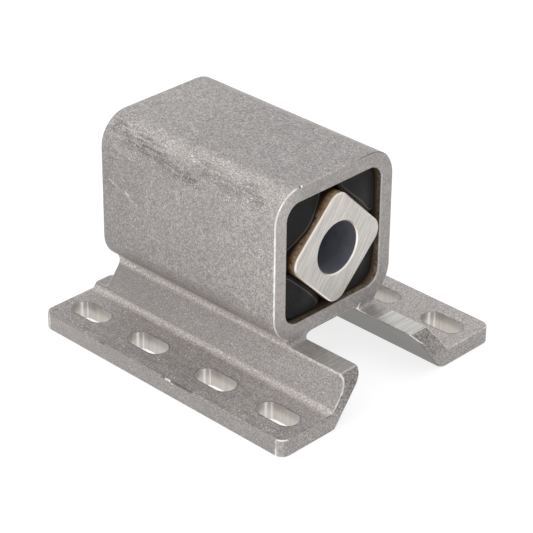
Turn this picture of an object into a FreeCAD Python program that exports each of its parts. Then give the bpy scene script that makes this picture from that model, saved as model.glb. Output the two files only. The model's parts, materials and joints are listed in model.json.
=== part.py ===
import FreeCAD, Part
import math
import os

import Sketcher

# Rubber torsion mount for a motor: an extruded housing on two slotted feet holds a square
# core, which twists about its bore between four rubber inserts.
# X runs along the bore towards the long front overhang, Y across the feet and Z up.
# The origin is on the floor, in the middle of the feet. Sizes are in millimetres and degrees.

SIZES = {
    "cavity_width": 48,
    "cavity_corner_radius": 6,
    "tube_wall": 6,
    "tube_length": 88,
    "front_overhang": 28.8,
    "rear_overhang": 6.2,
    "leg_height": 20,
    "leg_thickness": 6.5,
    "leg_lean": 37.5,
    "groove_radius": 4,
    "channel_radius": 4,
    "foot_width": 110,
    "foot_gap": 55.5,
    "foot_thickness": 7,
    "foot_root_radius": 2,
    "foot_corner_radius": 3.7,
    "foot_tip_radius": 2,
    "leg_flat_drop": 1.7,
    "leg_end_setback": 4,
    "leg_end_drop": 5.6,
    "leg_end_radius": 7,
    "relief_radius": 1.5,
    "rear_stub_rise": 2,
    "slot_width": 9,
    "slot_length": 17.5,
    "slot_edge_distance": 11.8,
    "slot_end_distance": 13.5,
    "slot_inner_spacing": 34.8,
    "edge_break": 0.4,
    "core_corner_gap": 2.5,
    "core_corner_radius": 5.5,
    "core_projection": 1.75,
    "core_bore": 20,
    "core_edge_break": 0.5,
    "insert_recess": 3,
    "insert_lobe_radius": 3.5,
    "insert_corner_relief": 0.8,
    "insert_edge_break": 0.6,
}

# Places and sizes that follow from the driving sizes.
DERIVED = {
    "cavity_half": "cavity_width / 2",
    "tube_half": "cavity_half + tube_wall",
    "tube_corner_radius": "cavity_corner_radius + tube_wall",
    "axis_height": "leg_height + tube_half",
    "tube_top": "axis_height + tube_half",
    "foot_length": "tube_length + front_overhang + rear_overhang",
    "foot_end": "foot_length / 2",
    "foot_side": "foot_width / 2",
    "tube_front": "foot_end - front_overhang",
    "tube_rear": "rear_overhang - foot_end",
    "tube_mid": "(tube_front + tube_rear) / 2",
    "leg_flat_height": "leg_height - leg_flat_drop",
    "leg_end_height": "leg_flat_height - leg_end_drop",
    "rear_stub_height": "foot_thickness + rear_stub_rise",
    "slot_row": "foot_side - slot_edge_distance",
    "slot_outer": "foot_end - slot_end_distance",
    "slot_inner": "slot_inner_spacing / 2",
    "core_side": "sqrt(2) * (cavity_half - core_corner_gap) + (2 - sqrt(2)) * core_corner_radius",
    "core_length": "tube_length + 2 * core_projection",
    "insert_length": "tube_length - 2 * insert_recess",
    "insert_corner_radius": "cavity_corner_radius + insert_corner_relief",
}

CUT_MARGIN = 5
EIGHTH_TURN = 360 / 8
QUARTER_TURN = 360 / 4
NEAR = 1e-4
SHARP_TURN = 20

START, END, CENTRE = 1, 2, 3
X_AXIS = FreeCAD.Vector(1, 0, 0)
SKETCH_NORMAL = FreeCAD.Vector(0, 0, 1)
ORIGIN = (-1, START)
FLOOR_LINE = -1
CENTRE_LINE = -2

INSERT_CORNERS = ("upper_left", "lower_left", "lower_right", "upper_right")


def make_sheet(doc):
    """Fill the spreadsheet with the driving sizes and what follows from them."""
    sheet = doc.addObject("Spreadsheet::Sheet", "sizes")
    rows = [(alias, str(value)) for alias, value in SIZES.items()]
    rows += [(alias, "=" + formula) for alias, formula in DERIVED.items()]
    for row, (alias, content) in enumerate(rows, start=1):
        sheet.set(f"A{row}", alias)
        sheet.set(f"B{row}", content)
        sheet.setAlias(f"B{row}", alias)
    doc.recompute()
    return sheet


def point(x, y):
    return FreeCAD.Vector(x, y, 0)


def add_sketch(body, name, plane_role):
    """Lay an empty sketch on one of the body's own origin planes."""
    sketch = body.newObject("Sketcher::SketchObject", name)
    planes = {item.Role: item for item in body.Origin.OriginFeatures}
    sketch.AttachmentSupport = (planes[plane_role], "")
    sketch.MapMode = "FlatFace"
    return sketch


def add_line(sketch, start, end):
    return sketch.addGeometry(Part.LineSegment(start, end))


def add_arc(sketch, centre, start, end):
    """Add the arc that runs anticlockwise from start to end about centre."""
    circle = Part.Circle(centre, SKETCH_NORMAL, centre.distanceToPoint(start))
    first = math.atan2(start.y - centre.y, start.x - centre.x)
    last = math.atan2(end.y - centre.y, end.x - centre.x)
    return sketch.addGeometry(Part.ArcOfCircle(circle, first, last))


def constrain(sketch, kind, *references):
    sketch.addConstraint(Sketcher.Constraint(kind, *references))


def dimension(sketch, name, formula, kind, *references):
    """Add a dimension that follows a formula in the sheet's sizes."""
    value = float(sketch.evalExpression(formula))
    if kind == "Angle":
        value = math.radians(value)
    index = sketch.addConstraint(Sketcher.Constraint(kind, *references, value))
    sketch.renameConstraint(index, name)
    sketch.setExpression(f"Constraints.{name}", formula)


def add_pad(body, name, sketch, length_formula):
    """Pad a sketch by equal amounts to both sides of its plane."""
    pad = body.newObject("PartDesign::Pad", name)
    pad.Profile = sketch
    pad.Midplane = True
    pad.setExpression("Length", length_formula)
    return pad


def add_through_pocket(body, name, sketch):
    """Cut a sketch right through the body, to both sides of its plane."""
    pocket = body.newObject("PartDesign::Pocket", name)
    pocket.Profile = sketch
    pocket.Type = "ThroughAll"
    pocket.Midplane = True
    return pocket


def add_mirror(body, name, feature, plane_role):
    mirror = body.newObject("PartDesign::Mirrored", name)
    planes = {item.Role: item for item in body.Origin.OriginFeatures}
    mirror.Originals = [feature]
    mirror.MirrorPlane = (planes[plane_role], [""])
    body.Tip = mirror
    return mirror


def add_edge_feature(body, kind, name, base, edge_names, size_property, formula):
    """Round or chamfer the named edges of an earlier feature."""
    if not edge_names:
        raise RuntimeError(f"{name} finds no edge to work on")
    feature = body.newObject(kind, name)
    feature.Base = (base, edge_names)
    feature.setExpression(size_property, formula)
    return feature


def edges_where(shape, test):
    """Name the edges that pass the test."""
    return [f"Edge{index}" for index, edge in enumerate(shape.Edges, start=1) if test(edge)]


def close_to(value, target):
    return abs(value - target) < NEAR


def across_axis(edge):
    return edge.BoundBox.XLength < NEAR


def turn_across(shape, edge):
    """The angle in degrees that the surface turns through where two faces meet at an edge."""
    middle = edge.valueAt((edge.FirstParameter + edge.LastParameter) / 2)
    normals = []
    for face in shape.ancestorsOfType(edge, Part.Face):
        normals.append(face.normalAt(*face.Surface.parameter(middle)))
    return math.degrees(normals[0].getAngle(normals[-1]))


def rounded_square(sketch, side_formula, radius_formula, height_formula):
    """Draw a square with rounded corners about a point on the centre line."""
    half = float(sketch.evalExpression(side_formula)) / 2
    radius = float(sketch.evalExpression(radius_formula))
    middle = point(0, float(sketch.evalExpression(height_formula)))
    inner = half - radius
    sides = []
    corners = []
    for turn in range(4):
        spin = FreeCAD.Rotation(SKETCH_NORMAL, turn * QUARTER_TURN)
        spots = [point(half, -inner), point(half, inner), point(inner, inner), point(inner, half)]
        low, high, centre, far = [middle + spin.multVec(spot) for spot in spots]
        sides.append(add_line(sketch, low, high))
        corners.append(add_arc(sketch, centre, high, far))
    for turn in range(4):
        following = (turn + 1) % 4
        constrain(sketch, "Tangent", sides[turn], END, corners[turn], START)
        constrain(sketch, "Tangent", corners[turn], END, sides[following], START)
    for turn in range(4):
        constrain(sketch, ("Vertical", "Horizontal")[turn % 2], sides[turn])
    for corner in corners[1:]:
        constrain(sketch, "Equal", corners[0], corner)
    constrain(sketch, "Equal", sides[0], sides[1])
    dimension(sketch, "corner_radius", radius_formula, "Radius", corners[0])
    dimension(sketch, "half_width", f"({side_formula}) / 2", "DistanceX", *ORIGIN, sides[0], START)
    span = f"({side_formula}) - 2 * {radius_formula}"
    dimension(sketch, "side_span", span, "DistanceY", sides[0], START, sides[0], END)
    low_formula = f"({height_formula}) - ({side_formula}) / 2 + {radius_formula}"
    if float(sketch.evalExpression(low_formula)) < 0:
        dimension(sketch, "side_start", f"-({low_formula})", "DistanceY", sides[0], START, *ORIGIN)
    else:
        dimension(sketch, "side_start", low_formula, "DistanceY", *ORIGIN, sides[0], START)


def draw_half_section(sketch, sheet):
    """Draw one half of the extruded section: half the tube, one leg and its foot.

    The start positions are worked out exactly, so that the solver has nothing to search for.
    """
    lean = math.radians(sheet.leg_lean)
    up_leg = point(-math.sin(lean), math.cos(lean))
    off_leg = point(math.cos(lean), math.sin(lean))
    half_gap = sheet.foot_gap / 2

    def beside_leg(distance, height):
        """The point at a height, at a distance outwards from the leg's inner wall."""
        return point(half_gap + distance / off_leg.x - height * math.tan(lean), height)

    corner = sheet.tube_corner_radius
    upper_corner = point(sheet.tube_half - corner, sheet.tube_top - corner)
    lower_corner = point(sheet.tube_half - corner, sheet.leg_height + corner)

    groove = sheet.groove_radius
    groove_line = beside_leg(sheet.leg_thickness + groove, 0)
    offset = (lower_corner - groove_line).dot(off_leg)
    slide = math.sqrt((corner + groove) ** 2 - offset ** 2)
    groove_centre = lower_corner - off_leg * offset - up_leg * slide
    corner_to_groove = (groove_centre - lower_corner).normalize()

    root = sheet.foot_root_radius
    root_centre = beside_leg(sheet.leg_thickness + root, sheet.foot_thickness + root)
    channel = sheet.channel_radius
    channel_centre = beside_leg(-channel, sheet.leg_height - channel)

    under_middle = point(0, sheet.leg_height)
    top_middle = point(0, sheet.tube_top)
    top_end = point(upper_corner.x, sheet.tube_top)
    side_top = point(sheet.tube_half, upper_corner.y)
    side_bottom = point(sheet.tube_half, lower_corner.y)
    groove_top = lower_corner + corner_to_groove * corner
    leg_top = groove_centre - off_leg * groove
    leg_bottom = root_centre - off_leg * root
    foot_top_start = point(root_centre.x, sheet.foot_thickness)
    foot_top_end = point(sheet.foot_side, sheet.foot_thickness)
    foot_bottom_end = point(sheet.foot_side, 0)
    foot_bottom_start = point(half_gap, 0)
    channel_side = channel_centre + off_leg * channel
    channel_top = point(channel_centre.x, sheet.leg_height)

    middle = add_line(sketch, under_middle, top_middle)
    top = add_line(sketch, top_middle, top_end)
    upper_arc = add_arc(sketch, upper_corner, side_top, top_end)
    side = add_line(sketch, side_top, side_bottom)
    lower_arc = add_arc(sketch, lower_corner, groove_top, side_bottom)
    groove_arc = add_arc(sketch, groove_centre, groove_top, leg_top)
    leg_outside = add_line(sketch, leg_top, leg_bottom)
    root_arc = add_arc(sketch, root_centre, leg_bottom, foot_top_start)
    foot_top = add_line(sketch, foot_top_start, foot_top_end)
    foot_edge = add_line(sketch, foot_top_end, foot_bottom_end)
    foot_bottom = add_line(sketch, foot_bottom_end, foot_bottom_start)
    leg_inside = add_line(sketch, foot_bottom_start, channel_side)
    channel_arc = add_arc(sketch, channel_centre, channel_side, channel_top)
    underside = add_line(sketch, channel_top, under_middle)

    for first, second in (
        (middle, top),
        (foot_top, foot_edge),
        (foot_edge, foot_bottom),
        (foot_bottom, leg_inside),
        (underside, middle),
    ):
        constrain(sketch, "Coincident", first, END, second, START)
    for first, first_end, second, second_end in (
        (top, END, upper_arc, END),
        (upper_arc, START, side, START),
        (side, END, lower_arc, END),
        (lower_arc, START, groove_arc, START),
        (groove_arc, END, leg_outside, START),
        (leg_outside, END, root_arc, START),
        (root_arc, END, foot_top, START),
        (leg_inside, END, channel_arc, START),
        (channel_arc, END, underside, START),
    ):
        constrain(sketch, "Tangent", first, first_end, second, second_end)
    for line in (top, foot_top, foot_bottom, underside):
        constrain(sketch, "Horizontal", line)
    for line in (middle, side, foot_edge):
        constrain(sketch, "Vertical", line)
    constrain(sketch, "PointOnObject", middle, START, CENTRE_LINE)
    constrain(sketch, "PointOnObject", foot_bottom, START, FLOOR_LINE)
    constrain(sketch, "Parallel", leg_outside, leg_inside)
    constrain(sketch, "Equal", upper_arc, lower_arc)

    dimension(sketch, "tube_corner", "sizes.tube_corner_radius", "Radius", upper_arc)
    dimension(sketch, "groove", "sizes.groove_radius", "Radius", groove_arc)
    dimension(sketch, "root", "sizes.foot_root_radius", "Radius", root_arc)
    dimension(sketch, "channel", "sizes.channel_radius", "Radius", channel_arc)
    dimension(sketch, "tube_half", "sizes.tube_half", "DistanceX", *ORIGIN, side, START)
    dimension(sketch, "tube_top", "sizes.tube_top", "DistanceY", *ORIGIN, middle, END)
    dimension(sketch, "leg_height", "sizes.leg_height", "DistanceY", *ORIGIN, middle, START)
    lower_height = "sizes.leg_height + sizes.tube_corner_radius"
    dimension(sketch, "lower_corner", lower_height, "DistanceY", *ORIGIN, lower_arc, CENTRE)
    dimension(sketch, "foot_side", "sizes.foot_side", "DistanceX", *ORIGIN, foot_bottom, START)
    half_gap_formula = "sizes.foot_gap / 2"
    dimension(sketch, "half_gap", half_gap_formula, "DistanceX", *ORIGIN, foot_bottom, END)
    dimension(sketch, "foot_thickness", "sizes.foot_thickness", "DistanceY", foot_edge, END, foot_edge, START)
    lean_formula = f"{QUARTER_TURN} + sizes.leg_lean"
    dimension(sketch, "lean", lean_formula, "Angle", leg_inside)
    dimension(sketch, "leg_thickness", "sizes.leg_thickness", "Distance", leg_outside, END, leg_inside)


def draw_front_relief(sketch, sheet):
    """Draw the side view of what is milled away ahead of the tube and over the leg ends."""
    radius = sheet.relief_radius
    front = sheet.tube_front
    flat = sheet.leg_flat_height
    end = sheet.foot_end
    ceiling = sheet.tube_top + CUT_MARGIN
    outside = end + CUT_MARGIN

    flat_end = point(end - sheet.leg_end_setback, flat)
    tip = point(end, sheet.leg_end_height)
    chord = tip - flat_end
    inward = point(chord.y, -chord.x).normalize()
    depth = math.sqrt(sheet.leg_end_radius ** 2 - (chord.Length / 2) ** 2)
    end_centre = flat_end + chord * 0.5 + inward * depth

    face_bottom = point(front, flat + radius)
    flat_start = point(front + radius, flat)
    corner_centre = point(front + radius, flat + radius)
    tip_outside = point(outside, tip.y)
    ceiling_outside = point(outside, ceiling)
    ceiling_front = point(front, ceiling)

    face = add_line(sketch, ceiling_front, face_bottom)
    corner = add_arc(sketch, corner_centre, face_bottom, flat_start)
    floor = add_line(sketch, flat_start, flat_end)
    rounding = add_arc(sketch, end_centre, tip, flat_end)
    shelf = add_line(sketch, tip, tip_outside)
    far_side = add_line(sketch, tip_outside, ceiling_outside)
    roof = add_line(sketch, ceiling_outside, ceiling_front)

    constrain(sketch, "Tangent", face, END, corner, START)
    constrain(sketch, "Tangent", corner, END, floor, START)
    constrain(sketch, "Coincident", floor, END, rounding, END)
    constrain(sketch, "Coincident", rounding, START, shelf, START)
    for first, second in ((shelf, far_side), (far_side, roof), (roof, face)):
        constrain(sketch, "Coincident", first, END, second, START)
    for line in (face, far_side):
        constrain(sketch, "Vertical", line)
    for line in (floor, shelf, roof):
        constrain(sketch, "Horizontal", line)

    dimension(sketch, "relief", "sizes.relief_radius", "Radius", corner)
    dimension(sketch, "rounding", "sizes.leg_end_radius", "Radius", rounding)
    dimension(sketch, "front", "sizes.tube_front", "DistanceX", *ORIGIN, face, START)
    dimension(sketch, "flat", "sizes.leg_flat_height", "DistanceY", *ORIGIN, floor, END)
    flat_reach = "sizes.foot_end - sizes.leg_end_setback"
    dimension(sketch, "flat_reach", flat_reach, "DistanceX", *ORIGIN, floor, END)
    dimension(sketch, "tip_reach", "sizes.foot_end", "DistanceX", *ORIGIN, shelf, START)
    dimension(sketch, "tip_height", "sizes.leg_end_height", "DistanceY", *ORIGIN, shelf, START)
    dimension(sketch, "outside", f"sizes.foot_end + {CUT_MARGIN}", "DistanceX", *ORIGIN, shelf, END)
    dimension(sketch, "ceiling", f"sizes.tube_top + {CUT_MARGIN}", "DistanceY", *ORIGIN, roof, END)


def draw_rear_relief(sketch, sheet):
    """Draw the side view of what is milled away behind the tube, down to the leg stubs."""
    radius = sheet.relief_radius
    rear = sheet.tube_rear
    stub = sheet.rear_stub_height
    ceiling = sheet.tube_top + CUT_MARGIN
    outside = -sheet.foot_end - CUT_MARGIN

    face_bottom = point(rear, stub + radius)
    stub_start = point(rear - radius, stub)
    face = add_line(sketch, point(rear, ceiling), face_bottom)
    corner = add_arc(sketch, point(rear - radius, stub + radius), stub_start, face_bottom)
    floor = add_line(sketch, stub_start, point(outside, stub))
    far_side = add_line(sketch, point(outside, stub), point(outside, ceiling))
    roof = add_line(sketch, point(outside, ceiling), point(rear, ceiling))

    constrain(sketch, "Tangent", face, END, corner, END)
    constrain(sketch, "Tangent", corner, START, floor, START)
    for first, second in ((floor, far_side), (far_side, roof), (roof, face)):
        constrain(sketch, "Coincident", first, END, second, START)
    for line in (face, far_side):
        constrain(sketch, "Vertical", line)
    for line in (floor, roof):
        constrain(sketch, "Horizontal", line)

    dimension(sketch, "relief", "sizes.relief_radius", "Radius", corner)
    dimension(sketch, "rear", "-sizes.tube_rear", "DistanceX", face, START, *ORIGIN)
    dimension(sketch, "stub", "sizes.rear_stub_height", "DistanceY", *ORIGIN, floor, END)
    dimension(sketch, "outside", f"sizes.foot_end + {CUT_MARGIN}", "DistanceX", floor, END, *ORIGIN)
    dimension(sketch, "ceiling", f"sizes.tube_top + {CUT_MARGIN}", "DistanceY", *ORIGIN, roof, END)


def draw_slot(sketch, sheet, name, place, side):
    """Draw one slot along X, on the side of the middle that its sign gives."""
    radius = sheet.slot_width / 2
    reach = (sheet.slot_length - sheet.slot_width) / 2
    middle = side * getattr(sheet, place)
    row = sheet.slot_row
    right_low = point(middle + reach, row - radius)
    right_high = point(middle + reach, row + radius)
    left_high = point(middle - reach, row + radius)
    left_low = point(middle - reach, row - radius)

    right_end = add_arc(sketch, point(middle + reach, row), right_low, right_high)
    upper = add_line(sketch, right_high, left_high)
    left_end = add_arc(sketch, point(middle - reach, row), left_high, left_low)
    lower = add_line(sketch, left_low, right_low)

    constrain(sketch, "Tangent", right_end, END, upper, START)
    constrain(sketch, "Tangent", upper, END, left_end, START)
    constrain(sketch, "Tangent", left_end, END, lower, START)
    constrain(sketch, "Tangent", lower, END, right_end, START)
    constrain(sketch, "Horizontal", upper)
    constrain(sketch, "Equal", right_end, left_end)

    reach_formula = "(sizes.slot_length - sizes.slot_width) / 2"
    far_end, near_end = (right_end, left_end) if side > 0 else (left_end, right_end)
    dimension(sketch, f"{name}_radius", "sizes.slot_width / 2", "Radius", right_end)
    dimension(sketch, f"{name}_row", "sizes.slot_row", "DistanceY", *ORIGIN, right_end, CENTRE)
    for label, arc, formula in (
        ("far", far_end, f"sizes.{place} + {reach_formula}"),
        ("near", near_end, f"sizes.{place} - {reach_formula}"),
    ):
        ends = (*ORIGIN, arc, CENTRE) if side > 0 else (arc, CENTRE, *ORIGIN)
        dimension(sketch, f"{name}_{label}", formula, "DistanceX", *ends)


def make_housing(doc, sheet):
    """Extrude the section, open the tube, mill both ends back, cut the slots and ease the edges."""
    body = doc.addObject("PartDesign::Body", "housing")

    half_section = add_sketch(body, "half_section", "YZ_Plane")
    draw_half_section(half_section, sheet)
    extrusion = add_pad(body, "extrusion", half_section, "sizes.foot_length")
    doc.recompute()
    whole = add_mirror(body, "whole_section", extrusion, "XZ_Plane")
    doc.recompute()

    cavity_section = add_sketch(body, "cavity_section", "YZ_Plane")
    rounded_square(cavity_section, "sizes.cavity_width", "sizes.cavity_corner_radius", "sizes.axis_height")
    cavity = add_through_pocket(body, "cavity", cavity_section)
    doc.recompute()

    front_profile = add_sketch(body, "front_profile", "XZ_Plane")
    draw_front_relief(front_profile, sheet)
    add_through_pocket(body, "front_relief", front_profile)
    rear_profile = add_sketch(body, "rear_profile", "XZ_Plane")
    draw_rear_relief(rear_profile, sheet)
    add_through_pocket(body, "rear_relief", rear_profile)
    doc.recompute()

    slot_plan = add_sketch(body, "slot_plan", "XY_Plane")
    for place in ("slot_outer", "slot_inner"):
        for side, side_name in ((1, "front"), (-1, "rear")):
            draw_slot(slot_plan, sheet, f"{place}_{side_name}", place, side)
    slots = add_through_pocket(body, "slots", slot_plan)
    doc.recompute()
    all_slots = add_mirror(body, "all_slots", slots, "XZ_Plane")
    doc.recompute()

    def foot_corner(edge):
        box = edge.BoundBox
        upright = box.ZLength > NEAR and box.XLength < NEAR and box.YLength < NEAR
        at_side = close_to(abs(box.YMin), sheet.foot_side)
        return upright and at_side and close_to(abs(box.XMin), sheet.foot_end)

    corners = add_edge_feature(
        body,
        "PartDesign::Fillet",
        "foot_corners",
        all_slots,
        edges_where(all_slots.Shape, foot_corner),
        "Radius",
        "sizes.foot_corner_radius",
    )
    doc.recompute()

    def foot_tip(edge):
        box = edge.BoundBox
        slanted = box.ZLength > NEAR and box.YLength > NEAR and across_axis(edge)
        on_floor = close_to(box.ZMin, 0)
        return slanted and on_floor and close_to(abs(box.XMin), sheet.foot_end)

    tips = add_edge_feature(
        body,
        "PartDesign::Fillet",
        "foot_tips",
        corners,
        edges_where(corners.Shape, foot_tip),
        "Radius",
        "sizes.foot_tip_radius",
    )
    doc.recompute()

    def sharp_outside_slots(edge):
        box = edge.BoundBox
        row = (abs(box.YMin) + abs(box.YMax)) / 2
        beside_slot = abs(row - sheet.slot_row) < sheet.slot_width / 2 + NEAR
        inside_foot = max(abs(box.XMin), abs(box.XMax)) < sheet.foot_end - NEAR
        sharp = turn_across(tips.Shape, edge) > SHARP_TURN
        return sharp and not (beside_slot and inside_foot)

    add_edge_feature(
        body,
        "PartDesign::Chamfer",
        "broken_edges",
        tips,
        edges_where(tips.Shape, sharp_outside_slots),
        "Size",
        "sizes.edge_break",
    )
    doc.recompute()
    return body


def make_core(doc, sheet):
    """Pad the square core with its bore, and break the edges of both ends."""
    body = doc.addObject("PartDesign::Body", "square_core")
    section = add_sketch(body, "core_section", "YZ_Plane")
    rounded_square(section, "sizes.core_side", "sizes.core_corner_radius", "0")
    bore = section.addGeometry(Part.Circle(point(0, 0), SKETCH_NORMAL, sheet.core_bore / 2))
    constrain(section, "Coincident", bore, CENTRE, *ORIGIN)
    dimension(section, "bore", "sizes.core_bore", "Diameter", bore)
    bar = add_pad(body, "core_bar", section, "sizes.core_length")
    doc.recompute()

    add_edge_feature(
        body,
        "PartDesign::Chamfer",
        "core_ends",
        bar,
        edges_where(bar.Shape, across_axis),
        "Size",
        "sizes.core_edge_break",
    )
    body.Placement.Rotation = FreeCAD.Rotation(X_AXIS, EIGHTH_TURN)
    body.setExpression("Placement.Base.x", "sizes.tube_mid")
    body.setExpression("Placement.Base.z", "sizes.axis_height")
    doc.recompute()
    return body


def draw_insert_section(sketch, sheet):
    """Draw the corner between two tube walls and one flat of the core, with round lobes."""
    wall = sheet.cavity_half
    lobe = sheet.insert_lobe_radius
    corner = sheet.insert_corner_radius
    flat = sheet.core_side / 2
    slant = math.sqrt(2)

    low_lobe = point(wall - lobe, slant * (flat + lobe) - wall + lobe)
    high_lobe = point(low_lobe.y, low_lobe.x)
    corner_centre = point(wall - corner, wall - corner)
    to_core = point(-lobe / slant, -lobe / slant)

    side_low = point(wall, low_lobe.y)
    side_high = point(wall, corner_centre.y)
    top_right = point(corner_centre.x, wall)
    top_left = point(high_lobe.x, wall)

    side = add_line(sketch, side_low, side_high)
    corner_arc = add_arc(sketch, corner_centre, side_high, top_right)
    top = add_line(sketch, top_right, top_left)
    high_arc = add_arc(sketch, high_lobe, top_left, high_lobe + to_core)
    face = add_line(sketch, high_lobe + to_core, low_lobe + to_core)
    low_arc = add_arc(sketch, low_lobe, low_lobe + to_core, side_low)

    outline = (side, corner_arc, top, high_arc, face, low_arc)
    for index, edge in enumerate(outline):
        following = outline[(index + 1) % len(outline)]
        constrain(sketch, "Tangent", edge, END, following, START)
    constrain(sketch, "Vertical", side)
    constrain(sketch, "Horizontal", top)
    constrain(sketch, "Equal", high_arc, low_arc)
    dimension(sketch, "face_slope", f"-{EIGHTH_TURN}", "Angle", face)
    dimension(sketch, "corner", "sizes.insert_corner_radius", "Radius", corner_arc)
    dimension(sketch, "lobe", "sizes.insert_lobe_radius", "Radius", high_arc)
    dimension(sketch, "side_wall", "sizes.cavity_half", "DistanceX", *ORIGIN, side, END)
    dimension(sketch, "top_wall", "sizes.cavity_half", "DistanceY", *ORIGIN, top, START)
    dimension(sketch, "core_flat", "sizes.core_side / 2", "Distance", *ORIGIN, face)


def make_insert(doc, sheet, corner_name, turns):
    """Pad one rubber insert, break its end edges and turn it into its corner."""
    body = doc.addObject("PartDesign::Body", f"rubber_insert_{corner_name}")
    section = add_sketch(body, f"section_{corner_name}", "YZ_Plane")
    draw_insert_section(section, sheet)
    bar = add_pad(body, f"rubber_bar_{corner_name}", section, "sizes.insert_length")
    doc.recompute()

    add_edge_feature(
        body,
        "PartDesign::Chamfer",
        f"ends_{corner_name}",
        bar,
        edges_where(bar.Shape, across_axis),
        "Size",
        "sizes.insert_edge_break",
    )
    body.Placement.Rotation = FreeCAD.Rotation(X_AXIS, turns * QUARTER_TURN)
    body.setExpression("Placement.Base.x", "sizes.tube_mid")
    body.setExpression("Placement.Base.z", "sizes.axis_height")
    doc.recompute()
    return body


def check(doc, bodies):
    """Stop if any object failed to build or any piece is not one sound solid."""
    for item in doc.Objects:
        if "Invalid" in item.State or "Error" in item.State:
            raise RuntimeError(f"{item.Label} failed to build: {item.State}")
    for body in bodies:
        if body.Shape.isNull() or not body.Shape.isValid() or len(body.Shape.Solids) != 1:
            raise RuntimeError(f"{body.Label} is not one valid solid")


def main():
    doc = FreeCAD.newDocument("torsion_mount")
    sheet = make_sheet(doc)
    bodies = [make_housing(doc, sheet), make_core(doc, sheet)]
    for turns, corner_name in enumerate(INSERT_CORNERS, start=1):
        bodies.append(make_insert(doc, sheet, corner_name, turns))
    doc.recompute()
    check(doc, bodies)
    os.makedirs("parts", exist_ok=True)
    for body in bodies:
        body.Shape.exportStep(f"parts/{body.Label}.step")
        print(f"{body.Label}: {body.Shape.Volume:.0f} mm3")


main()
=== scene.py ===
import json
import math

import bmesh
import bpy
from bpy.props import FloatProperty, FloatVectorProperty, PointerProperty
from mathutils import Matrix, Vector


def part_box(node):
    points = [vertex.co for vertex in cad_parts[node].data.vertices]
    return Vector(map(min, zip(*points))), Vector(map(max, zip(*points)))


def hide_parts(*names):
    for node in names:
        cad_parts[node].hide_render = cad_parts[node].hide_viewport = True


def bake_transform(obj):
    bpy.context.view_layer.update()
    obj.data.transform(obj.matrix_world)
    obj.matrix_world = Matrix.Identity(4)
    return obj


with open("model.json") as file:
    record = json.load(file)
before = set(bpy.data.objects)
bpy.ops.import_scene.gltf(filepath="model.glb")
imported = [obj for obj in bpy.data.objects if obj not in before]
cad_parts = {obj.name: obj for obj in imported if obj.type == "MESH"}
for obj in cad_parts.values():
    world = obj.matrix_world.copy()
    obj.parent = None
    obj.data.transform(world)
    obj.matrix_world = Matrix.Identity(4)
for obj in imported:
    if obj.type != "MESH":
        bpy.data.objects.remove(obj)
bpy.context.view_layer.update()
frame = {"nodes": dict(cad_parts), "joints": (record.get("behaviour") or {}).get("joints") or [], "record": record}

bl_info = {
    "name": "Torsion Mount Finish",
    "version": (1, 0, 0),
    "blender": (4, 5, 0),
    "location": "View3D > Sidebar > Torsion Mount",
    "description": "Finishes a rubber torsion mount, models its rubber inserts and sets up the studio",
    "category": "Object",
}

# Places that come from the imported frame, in metres. X runs along the bore, Y across the feet, Z up.
MM = 0.001
AXIS = Vector(frame["joints"][0]["pos_m"])
FOOT_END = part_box("housing")[1].x
CORE_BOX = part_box("square_core")
INSERT_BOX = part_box("rubber_insert_upper_right")
CAVITY_HALF = INSERT_BOX[1].y
INSERT_RECESS = 3 * MM
TUBE_FRONT = INSERT_BOX[1].x + INSERT_RECESS
TUBE_REAR = INSERT_BOX[0].x - INSERT_RECESS
MOUNTS = {mount["name"]: mount["dims"] for mount in frame["record"]["mounts"]}
BORE_RADIUS = MOUNTS["core_bore"]["r_mm"] * MM
SLOT_RADIUS = MOUNTS["outer_slots"]["hole_r_mm"] * MM
SLOT_STRAIGHT = MOUNTS["outer_slots"]["slot_length_mm"] / 2 * MM - SLOT_RADIUS
SLOT_ROW = MOUNTS["outer_slots"]["spacing_y_mm"] / 2 * MM
SLOT_CENTRES = [MOUNTS[name]["spacing_x_mm"] / 2 * MM for name in ("outer_slots", "inner_slots")]

# Sizes of the housing's section and ends, and the middles of the hollows beside its legs.
FOOT_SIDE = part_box("housing")[1].y
FOOT_TOP = 7 * MM
FOOT_CORNER = 3.7 * MM
LEG_TOP = 20 * MM
LEG_FLAT = 18.3 * MM
LEG_LEAN = math.radians(37.5)
LEG_NOSE = 4 * MM
LEG_NOSE_START = FOOT_END - 13 * MM
LEG_INSIDE = 13.7 * MM
TUBE_HALF = 30 * MM
TUBE_CORNER = 12 * MM
GROOVE_MIDDLE = (26.7 * MM, 18.6 * MM)
GROOVE_RADIUS = 4 * MM
ROOT_MIDDLE = (31.6 * MM, 9 * MM)
ROOT_RADIUS = 2 * MM
CORE_FLAT = 16.81 * MM

QUARTER_TURN = math.pi / 2
ROOT_OF_TWO = math.sqrt(2)

# Directions of tool marks.
ALONG = (1.0, 0.0, 0.0)
ACROSS = (0.0, 1.0, 0.0)
UP = (0.0, 0.0, 1.0)
SLANTED = (1 / ROOT_OF_TWO, 1 / ROOT_OF_TWO, 0.0)

# The inserts in the order of their quarter turns.
INSERT_CORNERS = ("upper_left", "lower_left", "lower_right", "upper_right")

# Fineness of the inserts' mesh. Edges of the section over LONG_EDGE are cut, and only
# an end face has more than MOST_SIDE_CORNERS corners.
ROUND_SEGMENTS = 10
END_SEGMENTS = 4
SECTION_CUTS = 9
LENGTH_CUTS = 24
LONG_EDGE = 3 * MM
MOST_SIDE_CORNERS = 8

# Rings inside the lip of the inserts' end faces, as shares of the face's size.
FINE_RINGS = (0.84, 0.66, 0.46, 0.24)

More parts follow.
